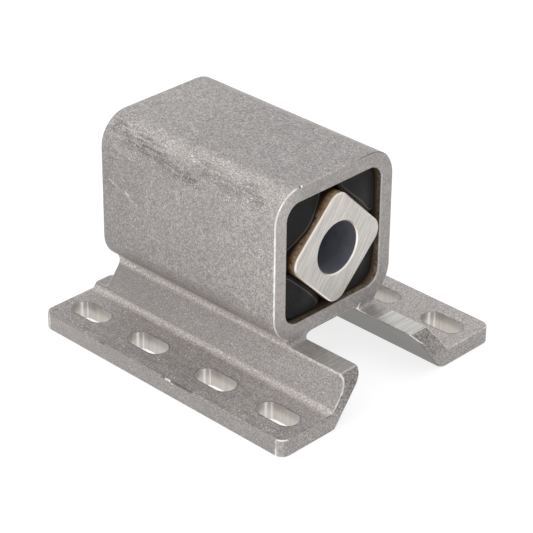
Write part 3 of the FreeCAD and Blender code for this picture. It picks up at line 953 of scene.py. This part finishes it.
def slot_glints(nodes, here):
    """Painted highlights: bright upright lines in the curved rear end of each slot."""
    marks = 0.0
    for centre in (end * place for place in SLOT_CENTRES for end in (-1, 1)):
        for offset in SLOT_GLINT_LINES:
            off_line = nodes.size(nodes.math("SUBTRACT", here.along, centre + offset))
            marks = nodes.math("MAXIMUM", marks, nodes.fade(off_line, 0.4 * MM, 0.1 * MM))
    return marks


def scratches(nodes, spot, direction, width):
    """Sparse fine scratches along a direction."""
    lines = tool_lines(nodes, spot, direction, width, 0.03)
    sparse = nodes.clouds(spot, 22 * MM, 2.0, 0.55, 0.48, 0.62)
    return nodes.product(nodes.fade(lines, 0.66, 0.76), sparse)


def line_marks(nodes, spot, lines):
    """Single marks along straight lines."""
    marks = 0.0
    for start, end, width, share in lines:
        near = nodes.fade(nodes.from_line(spot, start, end), width, 0.4 * width, 0.0, share)
        marks = nodes.math("MAXIMUM", marks, near)
    return marks


def housing_marks(nodes, here, look):
    """Patterns of the tumbled skin, of the machined faces and of the wear."""
    spot = here.spot
    sizes = {"Position": spot, "Grain Size": look.grain_size, "Patch Size": look.patch_size}
    edges = nodes.group(edge_group(), {"Position": spot, "Width": look.edge_width})
    steep = scratches(nodes, spot, (0.64, 0.0, -0.77), 0.35 * MM)
    shallow = scratches(nodes, spot, (0.9, 0.1, 0.42), 0.3 * MM)
    off_leg_flat = nodes.size(nodes.math("SUBTRACT", here.height, LEG_FLAT))
    return {
        **nodes.group(grain_group(), sizes),
        **edges,
        "Long Edges": nodes.product(edges["Long Edges"], nodes.fade(off_leg_flat, MM, 2 * MM)),
        "Milling": tool_lines(nodes, spot, ACROSS, 0.35 * MM),
        "Drawing": tool_lines(nodes, spot, ALONG, 0.6 * MM),
        "Cutting": tool_lines(nodes, spot, UP, 0.6 * MM),
        "Smears": nodes.fade(tool_lines(nodes, spot, ALONG, 1.3 * MM, 0.15), 0.45, 0.62),
        "Streaks": nodes.fade(tool_lines(nodes, spot, ALONG, 0.5 * MM, 0.35), 0.58, 0.7),
        "Dashes": nodes.fade(tool_lines(nodes, spot, SLANTED, 0.4 * MM, 0.2), 0.58, 0.7),
        "Blotches": nodes.clouds(spot, 5 * MM, 4.0, 0.6, 0.35, 0.6),
        "Mottle": nodes.clouds(spot, 2.2 * MM, 3.0, 0.6, 0.36, 0.6),
        "Swirls": nodes.clouds(spot, 1.3 * MM, 3.0, 0.7, 0.38, 0.6),
        "Scratches": nodes.math("MAXIMUM", steep, shallow),
        "Bright Lines": line_marks(nodes, spot, BRIGHT_LINES),
        "Dark Lines": line_marks(nodes, spot, DARK_LINES),
        "Rubs": rub_marks(nodes, here),
        "Slot Glints": slot_glints(nodes, here),
    }


def skin_layers(nodes, zones, marks, rough, look):
    """Layers of the tumbled skin: where each one lies, its colour and its roughness."""
    grain = marks["Grain"]
    mottle = marks["Mottle"]
    swirls = marks["Swirls"]
    bare_and_glints = tuple(look.bare_and_glints)
    dark = tuple(look.rubbed_and_shade)
    crack = tuple(Vector(look.rubbed_and_shade) * 0.5)
    tumbled = Vector(look.tumbled)
    # Painted light: paler grain on the front of the tube's sides, the rear of its top and shoulders, and the
    # crest.
    pale = shades(nodes, grain, tumbled, 0.8, 2.0)
    # Painted shade: darker grain on the tube's sides towards the rear, and on the feet's sides.
    side_shade = shades(nodes, grain, tumbled, 0.45, 0.85)
    end_grime = shades(nodes, grain, tumbled, 0.2, 0.72)
    # Painted light and shade on the tube's end faces: lighter on the left side, darker elsewhere.
    end_light_and_shade = nodes.tint(zones["left"], tuple(tumbled * 0.7), tuple(tumbled * 1.2))
    side_front = nodes.product(zones["tube_side"], zones["front"])
    high_rear = nodes.product(nodes.math("MAXIMUM", zones["top"], zones["shoulder"]), zones["rear"])
    rubs = nodes.product(marks["Rubs"], zones["shoulder"])
    foot_smears = nodes.product(zones["foot_top"], marks["Smears"])
    # Painted light on the feet's tops: over the right foot's top, and on the left foot's top towards the leg.
    foot_painted_light = nodes.level(
        zones["left"],
        nodes.product(zones["foot_top"], 0.38),
        nodes.product(zones["foot_inside"], 0.35),
    )
    flecked = nodes.math("MAXIMUM", zones["shoulder"], zones["foot_top"])
    return (
        # Painted shade and a less warm tint on the top.
        (nodes.product(zones["top"], 0.6), shades(nodes, grain, look.top_shade, 0.7, 1.3), 0.5),
        (nodes.product(zones["top"], marks["Dashes"], 0.4), bare_and_glints, 0.4),
        # Painted shade on the tube's sides, stronger towards the rear.
        (nodes.weigh(zones["tube_side"], zones["rear"], 0.1, 0.5), side_shade, rough),
        # Painted light on the front of the tube's sides and on the rear of its top and shoulders.
        (nodes.weigh(side_front, mottle, 0.4, 0.2), pale, rough),
        (nodes.weigh(high_rear, mottle, 0.35, 0.15), pale, rough),
        # A painted highlight along the shoulders' crest, partly burnish.
        (nodes.weigh(zones["crest"], marks["Blotches"], 0.55, 0.25), pale, rough),
        (nodes.product(rubs, 0.95), shades(nodes, grain, look.rubbed_and_shade, 0.7, 1.6), rough),
        (nodes.product(zones["shoulder"], marks["Streaks"], marks["Clusters"], 0.55), bare_and_glints, 0.5),
        # Painted light and shade on the tube's end faces, in mottled patches.
        (nodes.weigh(zones["tube_end"], mottle, 0.25, 0.6), end_light_and_shade, 0.5),
        (nodes.weigh(zones["leg_end"], swirls, 0.35, 0.85), end_grime, 0.5),
        # Painted shade on the legs' outer flanks.
        (nodes.product(zones["leg_flank_shade"], 0.45), tuple(tumbled * 0.6), rough),
        (nodes.weigh(foot_smears, zones["left"], 0.1, 0.34), dark, rough),
        # Painted shade on the feet's sides, in swirls, weaker towards the rear.
        (nodes.weigh(zones["foot_side"], swirls, 0.12, 0.55), side_shade, rough),
        # Painted light on the feet's tops.
        (foot_painted_light, shades(nodes, grain, tumbled, 1.0, 2.0), rough),
        # Painted light in the groove over each leg and at its foot.
        (zones["hollow_light"], shades(nodes, grain, tumbled, 1.1, 2.05), 0.7),
        (nodes.weigh(marks["Flecks"], flecked, 0.4, 0.75), bare_and_glints, rough),
        (nodes.product(marks["Scratches"], 0.55), bare_and_glints, rough),
        (nodes.weigh(marks["Bright Lines"], swirls, 1.0, 0.5), bare_and_glints, rough),
        (nodes.weigh(marks["Dark Lines"], swirls, 1.0, 0.6), crack, rough),
    )


def machined_layers(nodes, zones, marks, look):
    """Layers of the machined faces: where each one lies, its colour and its roughness."""
    mottle = marks["Mottle"]
    bare_and_glints = tuple(look.bare_and_glints)
    tumbled = Vector(look.tumbled)
    drawn = nodes.fade(marks["Drawing"], 0.3, 0.7)
    milled = nodes.fade(marks["Milling"], 0.3, 0.7)
    cut = nodes.fade(marks["Cutting"], 0.3, 0.7)
    return (
        # Painted shade on the smooth channel walls between the legs.
        (zones["channel"], shades(nodes, drawn, look.channel, 0.75, 1.2), 0.36),
        (zones["leg_flat"], shades(nodes, milled, look.milled, 0.75, 1.2), 0.34),
        (nodes.weigh(zones["leg_stain"], mottle, 0.4, 0.65), tuple(tumbled * 0.72), 0.45),
        (nodes.product(zones["leg_step"], 0.5), bare_and_glints, 0.4),
        (zones["slot_wall"], shades(nodes, cut, look.slot, 0.9, 1.1), 0.3),
        (nodes.product(zones["slot_wall"], zones["slot_shade"], 0.5), tuple(tumbled * 0.8), 0.4),
        # Painted highlights in the curved rear end of each slot.
        (nodes.product(zones["slot_wall"], marks["Slot Glints"], 0.55), bare_and_glints, 0.2),
        # Painted shade round the rim of each slot.
        (nodes.weigh(zones["slot_rim_shade"], mottle, 0.7, 0.4), tuple(tumbled * 0.3), 0.5),
    )


def edge_layers(nodes, edge_wear_and_light, marks, look):
    """Layers of the edges' wear, and of painted highlights and shade on them: where each one lies, its colour and
    its roughness.
    """
    mottle = marks["Mottle"]
    bare_and_glints = tuple(look.bare_and_glints)
    dark = tuple(look.rubbed_and_shade)
    return (
        (nodes.product(marks["End Edges"], 0.2), bare_and_glints, 0.3),
        # Painted shade: a dark line along the long edges.
        (nodes.weigh(marks["Long Edges"], mottle, 0.7, 0.3), dark, 0.5),
        # Bright end edges of the tube: bright metal, partly painted highlight.
        (nodes.weigh(edge_wear_and_light["rim"], mottle, 1.0, 0.65), bare_and_glints, 0.28),
        (nodes.weigh(edge_wear_and_light["nose"], mottle, 0.6, 0.35), bare_and_glints, 0.4),
        # A painted glint on the feet's rounded corners.
        (nodes.weigh(edge_wear_and_light["corner"], mottle, 0.7, 0.25), bare_and_glints, 0.4),
        (nodes.weigh(edge_wear_and_light["foot_rim"], mottle, 0.7, 0.3), bare_and_glints, 0.4),
        (edge_wear_and_light["burr"], bare_and_glints, 0.55),
        # Painted shade along the tube's top end edge.
        (edge_wear_and_light["top_rim_shade"], dark, 0.5),
        # A nick in the tube's front edge: bright metal beside painted shade.
        (edge_wear_and_light["nick"], bare_and_glints, 0.4),
        (edge_wear_and_light["nick_pit"], dark, 0.6),
        # Small dents along edges: painted shade beside bright metal.
        (nodes.product(marks["Nicks"], mottle, 0.8), dark, 0.5),
        (nodes.product(marks["Nicks"], nodes.fade(mottle, 0.5, 0.0), 0.8), bare_and_glints, 0.3),
    )


def mouth_colour(nodes, here, marks, look):
    """The brown stain inside the tube's mouth, rusty further in, with painted shade that turns it nearly black
    deeper in and away from the lower right corner.
    """
    depth = behind_end(nodes, here.along, TUBE_REAR, TUBE_FRONT)
    # Painted shade: darker away from the lower right corner, and nearly black deeper in.
    to_low_corner = nodes.math("SUBTRACT", nodes.math("ADD", here.across, AXIS.z), here.height)
    off_corner = nodes.fade(to_low_corner, 1.8 * CAVITY_HALF, CAVITY_HALF, 0.0, 0.5)
    inside = nodes.math("MAXIMUM", off_corner, nodes.fade(depth, 3.0 * MM, 5.0 * MM))
    colour = shades(nodes, marks["Swirls"], look.stain, 1.35, 0.6)
    colour = nodes.tint(nodes.fade(depth, 1.6 * MM, 2.8 * MM), colour, tuple(look.rust))
    return nodes.tint(inside, colour, tuple(Vector(look.stain) * 0.12))


def tumbled_alloy(look):
    """Dull tumbled alloy with milled flats, machined slots, a stained mouth, bright edges, and painted light and
    shade.
    """
    material, nodes, shader = new_material("Tumbled alloy")
    here = HousingPoint(nodes)
    zones = {**tube_zones(nodes, here), **leg_zones(nodes, here), **foot_zones(nodes, here)}
    # Masks of edge wear, painted highlights and glints, and painted shade.
    edge_wear_and_light = {**rim_light_and_wear(nodes, here), **leg_wear(nodes, here), **foot_wear_and_glints(nodes, here)}
    marks = housing_marks(nodes, here, look)
    grain = marks["Grain"]
    dull = tuple(Vector(look.tumbled) * 0.7)
    colour = shades(nodes, grain, look.tumbled, 0.64, 1.4)
    colour = nodes.tint(nodes.product(marks["Patches"], 0.25), colour, dull)
    colour = nodes.tint(nodes.product(marks["Mottle"], 0.2), colour, dull)
    colour = nodes.tint(nodes.product(marks["Pits"], 0.45), colour, tuple(look.rubbed_and_shade))
    rough = nodes.level(grain, 0.5, 0.64)
    layers = (
        *skin_layers(nodes, zones, marks, rough, look),
        *machined_layers(nodes, zones, marks, look),
        (zones["mouth"], mouth_colour(nodes, here, marks, look), 0.5),
        *edge_layers(nodes, edge_wear_and_light, marks, look),
    )
    colour, rough = nodes.lay(layers, colour, rough)
    lumps = nodes.level(zones["leg_flat"], grain, marks["Milling"])
    lumps = nodes.level(zones["slot_wall"], lumps, marks["Cutting"])
    lumps = nodes.level(zones["channel"], lumps, marks["Drawing"])
    bump = {"Strength": 0.35, "Distance": 0.04 * MM, "Height": lumps}
    feed(nodes, shader, colour, rough, bump)
    nodes.fill(shader.inputs["Metallic"], nodes.level(zones["mouth"], look.metal_share, 0.15))
    return material


def core_sides(nodes, spot, from_end, grain, look):
    """Colour and roughness of the core's stained sides: rusty, with a pale stain near the end that is partly
    painted light, and painted shade that turns them nearly black further in.
    """
    specks = nodes.clouds(spot, 1.2 * MM, 3.0, 0.65, 0.36, 0.64)
    blots = nodes.clouds(spot, 3 * MM, 2.0, 0.55, 0.5, 0.6)
    near_end = nodes.weigh(nodes.fade(from_end, 2.2 * MM, 0.6 * MM), specks, 0.8, 0.3)
    rusty = shades(nodes, specks, look.rust, 0.8, 1.5)
    # Dark rust for blots near the end, and painted shade further in.
    rust_and_shade = tuple(Vector(look.rust) * 0.17)
    layers = (
        (nodes.fade(from_end, 1.8 * MM, 2.8 * MM), rusty, 0.5),
        (nodes.product(grain["Patches"], nodes.fade(from_end, 0.0, 2.0 * MM), 0.6), rusty, 0.5),
        # Painted shade: nearly black further in.
        (nodes.fade(from_end, 2.6 * MM, 4.2 * MM), rust_and_shade, 0.5),
        (nodes.product(blots, nodes.fade(from_end, 0.8 * MM, 1.8 * MM), 0.7), rust_and_shade, 0.5),
        # Pale stain near the end, partly painted light.
        (near_end, shades(nodes, grain["Grain"], look.stain, 1.2, 1.9), 0.45),
    )
    return nodes.lay(layers, shades(nodes, specks, look.stain, 0.8, 1.6), 0.5)


def ground_steel(look):
    """Ground end faces with bright edges, stained sides and a dark bore."""
    material, nodes, shader = new_material("Ground steel")
    spot = nodes.add("ShaderNodeTexCoord", {}, "Object")
    facing = nodes.add("ShaderNodeTexCoord", {}, "Normal")
    along, across, height = nodes.parts(spot)
    endwise = nodes.size(nodes.parts(facing)[0])
    rise = nodes.math("SUBTRACT", height, AXIS.z)
    radius = nodes.length(across, rise)
    from_end = behind_end(nodes, along, CORE_BOX[0].x, CORE_BOX[1].x)
    sizes = {"Position": spot, "Grain Size": 0.5 * MM, "Patch Size": 5 * MM}
    grain = nodes.group(grain_group(), sizes)
    edges = nodes.group(edge_group(), {"Position": spot, "Width": look.edge_width})["Edges"]
    lines = tool_lines(nodes, spot, (0.0, 0.6, 0.8), look.line_width)
    hairs = tool_lines(nodes, spot, (0.0, 0.5, 0.87), look.line_width, 0.05)
    bright = tuple(look.bright)

    end_face = nodes.fade(endwise, 0.9, 0.97)
    side = nodes.fade(endwise, 0.5, 0.3)
    bore = nodes.product(nodes.fade(radius, BORE_RADIUS + 0.3 * MM, BORE_RADIUS + 0.1 * MM), side)
    # Painted highlight: the bore's chamfer brighter towards the lower right.
    to_low_right = nodes.math("SUBTRACT", across, rise)
    bore_glint = nodes.fade(to_low_right, 0.0, BORE_RADIUS, 0.2, 1.0)
    at_bore = nodes.fade(radius, BORE_RADIUS + 2 * MM, BORE_RADIUS + MM)
    # Bright chamfers: bright metal, partly painted highlight, the bore's one mostly at the lower right.
    chamfer = nodes.weigh(nodes.band(endwise, 0.6, 0.8, 0.05), at_bore, 0.85, bore_glint)
    ground = shades(nodes, nodes.fade(lines, 0.32, 0.68), look.ground, 0.77, 1.21)
    layers = (
        (end_face, ground, 0.42),
        (nodes.product(end_face, nodes.fade(hairs, 0.4, 0.3), 0.6), tuple(look.stain), 0.45),
        (nodes.product(end_face, nodes.fade(hairs, 0.6, 0.7), 0.6), bright, 0.35),
        (nodes.math("MAXIMUM", chamfer, nodes.product(edges, 0.25)), bright, 0.28),
        (bore, shades(nodes, grain["Patches"], look.bore, 0.92, 1.1), 0.45),
    )
    colour, rough = nodes.lay(layers, *core_sides(nodes, spot, from_end, grain, look))
    lumps = nodes.level(end_face, grain["Grain"], lines)
    bump = {"Strength": 0.25, "Distance": 0.03 * MM, "Height": lumps}
    feed(nodes, shader, colour, rough, bump)
    nodes.fill(shader.inputs["Metallic"], nodes.level(side, 1.0, 0.4))
    return material


def black_rubber(look):
    """Matt black rubber with paler dust and a painted sheen along its rims, and a little dust elsewhere."""
    material, nodes, shader = new_material("Black rubber")
    spot = nodes.add("ShaderNodeTexCoord", {}, "Object")
    sizes = {"Position": spot, "Grain Size": 0.6 * MM, "Patch Size": 7 * MM}
    grain = nodes.group(grain_group(), sizes)
    rim = nodes.add("ShaderNodeAttribute", {}, "Fac", attribute_name="rim")
    dust_and_sheen = tuple(look.dust_and_sheen)
    colour = shades(nodes, grain["Patches"], look.rubber, 0.8, 1.3)
    # Paler rims near the core: dust, with a painted sheen.
    colour = nodes.tint(nodes.weigh(rim, grain["Patches"], 0.4, 0.9), colour, dust_and_sheen)
    colour = nodes.tint(nodes.product(grain["Flecks"], 0.1), colour, dust_and_sheen)
    rough = nodes.level(grain["Grain"], 0.5, 0.66)
    bump = {"Strength": 0.3, "Distance": 0.02 * MM, "Height": grain["Grain"]}
    feed(nodes, shader, colour, rough, bump)
    shader.inputs["Specular IOR Level"].default_value = 0.2
    return material


def dress(node, material):
    """Give a carried-over node its finish."""
    mesh = frame["nodes"][node].data
    mesh.materials.clear()
    mesh.materials.append(material)


def step_cap(mesh, cap, sizes, rim):
    """Inset an end face in rings: a lip near the core's flat that carries the pale dust and painted sheen, and
    then a fine mesh.
    """
    lift = Vector((math.copysign(sizes.rim_step, cap.normal.x), 0, 0))
    off_flat = Vector((0, 1, 1)).normalized() * sizes.lip_inset
    inset = {"thickness": sizes.lip_width, "use_boundary": True, "use_even_offset": True}
    for move, pale in ((off_flat, 0), (lift, 1), (-lift, 0)):
        bmesh.ops.inset_region(mesh, faces=[cap], **inset)
        verts = list(cap.verts)
        bmesh.ops.translate(mesh, vec=move, verts=verts)
        for vert in verts:
            vert[rim] = pale * (1 - smooth(off_core(vert) / sizes.rim_reach))
    to_middle = Matrix.Translation(-cap.calc_center_median())
    reached = 1.0
    for share in FINE_RINGS:
        made = bmesh.ops.extrude_face_region(mesh, geom=[cap])["geom"]
        cap = next(item for item in made if isinstance(item, bmesh.types.BMFace))
        shrink = Vector((1, share / reached, share / reached))
        bmesh.ops.scale(mesh, vec=shrink, space=to_middle, verts=list(cap.verts))
        reached = share
    bmesh.ops.poke(mesh, faces=[cap])


def off_core(vert):
    """Distance of a point of the unturned insert from the core's flat."""
    return (vert.co.y + vert.co.z) / ROOT_OF_TWO - CORE_FLAT


def bulge(vert, length, sizes):
    """Push a point near either end outwards, most where the core's flat squeezes the rubber."""
    from_middle = vert.co.x - length / 2
    nearness = smooth((abs(from_middle) - length / 2) / sizes.bulge_depth + 1)
    along_flat = (vert.co.y - vert.co.z) / ROOT_OF_TWO
    squeeze = 1 - smooth(off_core(vert) / sizes.bulge_reach)
    spread = 1 - smooth(abs(along_flat) / sizes.bulge_reach)
    vert.co.x += math.copysign(sizes.bulge * nearness * squeeze * spread, from_middle)


def smooth(value):
    """Go smoothly from 0 to 1."""
    value = min(max(value, 0), 1)
    return value * value * (3 - 2 * value)


def is_cap(face):
    """Tell an end face of an insert from the faces of its sides."""
    return len(face.verts) > MOST_SIDE_CORNERS


def model_insert(sizes, turns):
    """Model one rubber insert and turn it into its corner of the tube."""
    wall = CAVITY_HALF - sizes.clearance
    toe = ROOT_OF_TWO * (CORE_FLAT + sizes.clearance) - wall
    length = INSERT_BOX[1].x - INSERT_BOX[0].x
    mesh = bmesh.new()
    rim = mesh.verts.layers.float.new("rim")
    places = ((wall, toe), (wall, wall), (toe, wall))
    low, corner, high = [mesh.verts.new((0, *place)) for place in places]
    mesh.faces.new((low, corner, high))
    rounding = {"offset_type": "OFFSET", "segments": ROUND_SEGMENTS, "profile": 0.5, "material": -1}
    bmesh.ops.bevel(mesh, geom=[low, high], offset=sizes.lobe_reach, affect="VERTICES", **rounding)
    bmesh.ops.bevel(mesh, geom=[corner], offset=sizes.corner_reach, affect="VERTICES", **rounding)
    long_edges = [edge for edge in mesh.edges if edge.calc_length() > LONG_EDGE]
    bmesh.ops.subdivide_edges(mesh, edges=long_edges, cuts=SECTION_CUTS)

    made = bmesh.ops.extrude_face_region(mesh, geom=list(mesh.faces))["geom"]
    far = [item for item in made if isinstance(item, bmesh.types.BMVert)]
    bmesh.ops.translate(mesh, vec=(length, 0, 0), verts=far)
    bmesh.ops.recalc_face_normals(mesh, faces=mesh.faces)
    lengthwise = [edge for edge in mesh.edges if edge.calc_length() > length / 2]
    bmesh.ops.subdivide_edges(mesh, edges=lengthwise, cuts=LENGTH_CUTS, use_grid_fill=True)
    ends = [edge for edge in mesh.edges if any(map(is_cap, edge.link_faces))]
    rounding["segments"] = END_SEGMENTS
    bmesh.ops.bevel(mesh, geom=ends, offset=sizes.end_round, affect="EDGES", **rounding)
    for cap in list(filter(is_cap, mesh.faces)):
        step_cap(mesh, cap, sizes, rim)
    for vert in mesh.verts:
        bulge(vert, length, sizes)
    bmesh.ops.recalc_face_normals(mesh, faces=mesh.faces)
    for face in mesh.faces:
        face.smooth = True
    turn = Matrix.Rotation(turns * QUARTER_TURN, 4, "X")
    place = Matrix.Translation((INSERT_BOX[0].x, AXIS.y, AXIS.z))
    bmesh.ops.transform(mesh, matrix=place @ turn, verts=mesh.verts)
    return mesh


def add_object(name, mesh, material):
    """Make an object of a bmesh, at the origin."""
    data = bpy.data.meshes.new(name)
    mesh.to_mesh(data)
    mesh.free()
    data.materials.append(material)
    piece = bpy.data.objects.new(name, data)
    bpy.context.scene.collection.objects.link(piece)
    return piece


def add_area_light(name, place, target, size, power):
    """Add a soft square light that faces a point."""
    lamp = bpy.data.lights.new(name, "AREA")
    lamp.shape = "SQUARE"
    lamp.size = size
    lamp.energy = power
    light = bpy.data.objects.new(name, lamp)
    light.location = place
    light.rotation_euler = (Vector(target) - Vector(place)).to_track_quat("-Z", "Y").to_euler()
    bpy.context.scene.collection.objects.link(light)


class TORSION_OT_finish_housing(bpy.types.Operator):
    """Give the housing its tumbled alloy finish"""

    bl_idname = "torsion_mount.finish_housing"
    bl_label = "Finish Housing"

    def execute(self, context):
        dress("housing", tumbled_alloy(context.scene.torsion_housing))
        return {"FINISHED"}


class TORSION_OT_finish_core(bpy.types.Operator):
    """Give the square core its ground steel finish"""

    bl_idname = "torsion_mount.finish_core"
    bl_label = "Finish Core"

    def execute(self, context):
        dress("square_core", ground_steel(context.scene.torsion_core))
        return {"FINISHED"}


class TORSION_OT_model_inserts(bpy.types.Operator):
    """Model the rubber inserts between the tube and the core"""

    bl_idname = "torsion_mount.model_inserts"
    bl_label = "Model Rubber Inserts"

    def execute(self, context):
        sizes = context.scene.torsion_inserts
        material = black_rubber(sizes)
        for turns, corner in enumerate(INSERT_CORNERS, start=1):
            piece = add_object(f"{corner}_rubber", model_insert(sizes, turns), material)
            outwards = Vector((0, 1, 1)).normalized()
            outwards.rotate(Matrix.Rotation(turns * QUARTER_TURN, 3, "X"))
            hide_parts(f"rubber_insert_{corner}")
            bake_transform(piece)
        return {"FINISHED"}


class TORSION_OT_set_stage(bpy.types.Operator):
    """Set up the floor, the lights and the camera"""

    bl_idname = "torsion_mount.set_stage"
    bl_label = "Set Stage"

    def execute(self, context):
        studio = context.scene.torsion_studio
        self.lay_floor(studio)
        self.light(context.scene, studio)
        self.aim_camera(context.scene, studio)
        return {"FINISHED"}

    def lay_floor(self, studio):
        """Lay a wide pale floor that glows a little."""
        material, _, shader = new_material("Pale floor")
        shader.inputs["Base Color"].default_value = (*studio.floor, 1)
        shader.inputs["Roughness"].default_value = 0.9
        shader.inputs["Emission Color"].default_value = (1, 1, 1, 1)
        shader.inputs["Emission Strength"].default_value = studio.floor_glow
        mesh = bmesh.new()
        bmesh.ops.create_grid(mesh, x_segments=1, y_segments=1, size=FLOOR_HALF)
        add_object("floor", mesh, material)

    def light(self, scene, studio):
        """Light the stage with an even tent and soft lights."""
        scene.view_settings.view_transform = "Standard"
        world = bpy.data.worlds.new("Tent")
        world.use_nodes = True
        background = world.node_tree.nodes["Background"]
        background.inputs["Color"].default_value = (1, 1, 1, 1)
        background.inputs["Strength"].default_value = studio.tent
        scene.world = world
        for name, place, size, power in LIGHTS:
            add_area_light(name, place, AXIS, size, power)

    def aim_camera(self, scene, studio):
        """Set up the camera from its angles, its distance and its aim."""
        lens = bpy.data.cameras.new("camera")
        lens.lens = studio.lens
        camera = bpy.data.objects.new("camera", lens)
        flat = math.cos(studio.elevation)
        back = Vector(
            (
                math.sin(studio.azimuth) * flat,
                -math.cos(studio.azimuth) * flat,
                math.sin(studio.elevation),
            )
        )
        upright = back.to_track_quat("Z", "Y").to_matrix().to_4x4()
        rolled = upright @ Matrix.Rotation(studio.roll, 4, "Z")
        place = Vector(studio.aim) + back * studio.distance
        camera.matrix_world = Matrix.Translation(place) @ rolled
        scene.collection.objects.link(camera)
        scene.camera = camera


class TORSION_PT_panel(bpy.types.Panel):
    """Lists the steps that finish the mount"""

    bl_idname = "TORSION_PT_panel"
    bl_label = "Torsion Mount"
    bl_space_type = "VIEW_3D"
    bl_region_type = "UI"
    bl_category = "Torsion Mount"

    def draw(self, context):
        for operator in OPERATORS:
            self.layout.operator(operator.bl_idname)


PROPERTY_GROUPS = {
    "torsion_housing": HousingFinish,
    "torsion_core": CoreFinish,
    "torsion_inserts": RubberInserts,
    "torsion_studio": Studio,
}
OPERATORS = (
    TORSION_OT_finish_housing,
    TORSION_OT_finish_core,
    TORSION_OT_model_inserts,
    TORSION_OT_set_stage,
)
CLASSES = (*PROPERTY_GROUPS.values(), *OPERATORS, TORSION_PT_panel)


def register():
    """Register the classes and give the scene their settings."""
    for item in CLASSES:
        bpy.utils.register_class(item)
    for name, group in PROPERTY_GROUPS.items():
        setattr(bpy.types.Scene, name, PointerProperty(type=group))


def unregister():
    """Take the settings and the classes away again."""
    for name in PROPERTY_GROUPS:
        delattr(bpy.types.Scene, name)
    for item in reversed(CLASSES):
        bpy.utils.unregister_class(item)


def main():
    """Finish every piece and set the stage."""
    register()
    bpy.ops.torsion_mount.finish_housing()
    bpy.ops.torsion_mount.finish_core()
    bpy.ops.torsion_mount.model_inserts()
    bpy.ops.torsion_mount.set_stage()


if __name__ == "__main__":
    main()
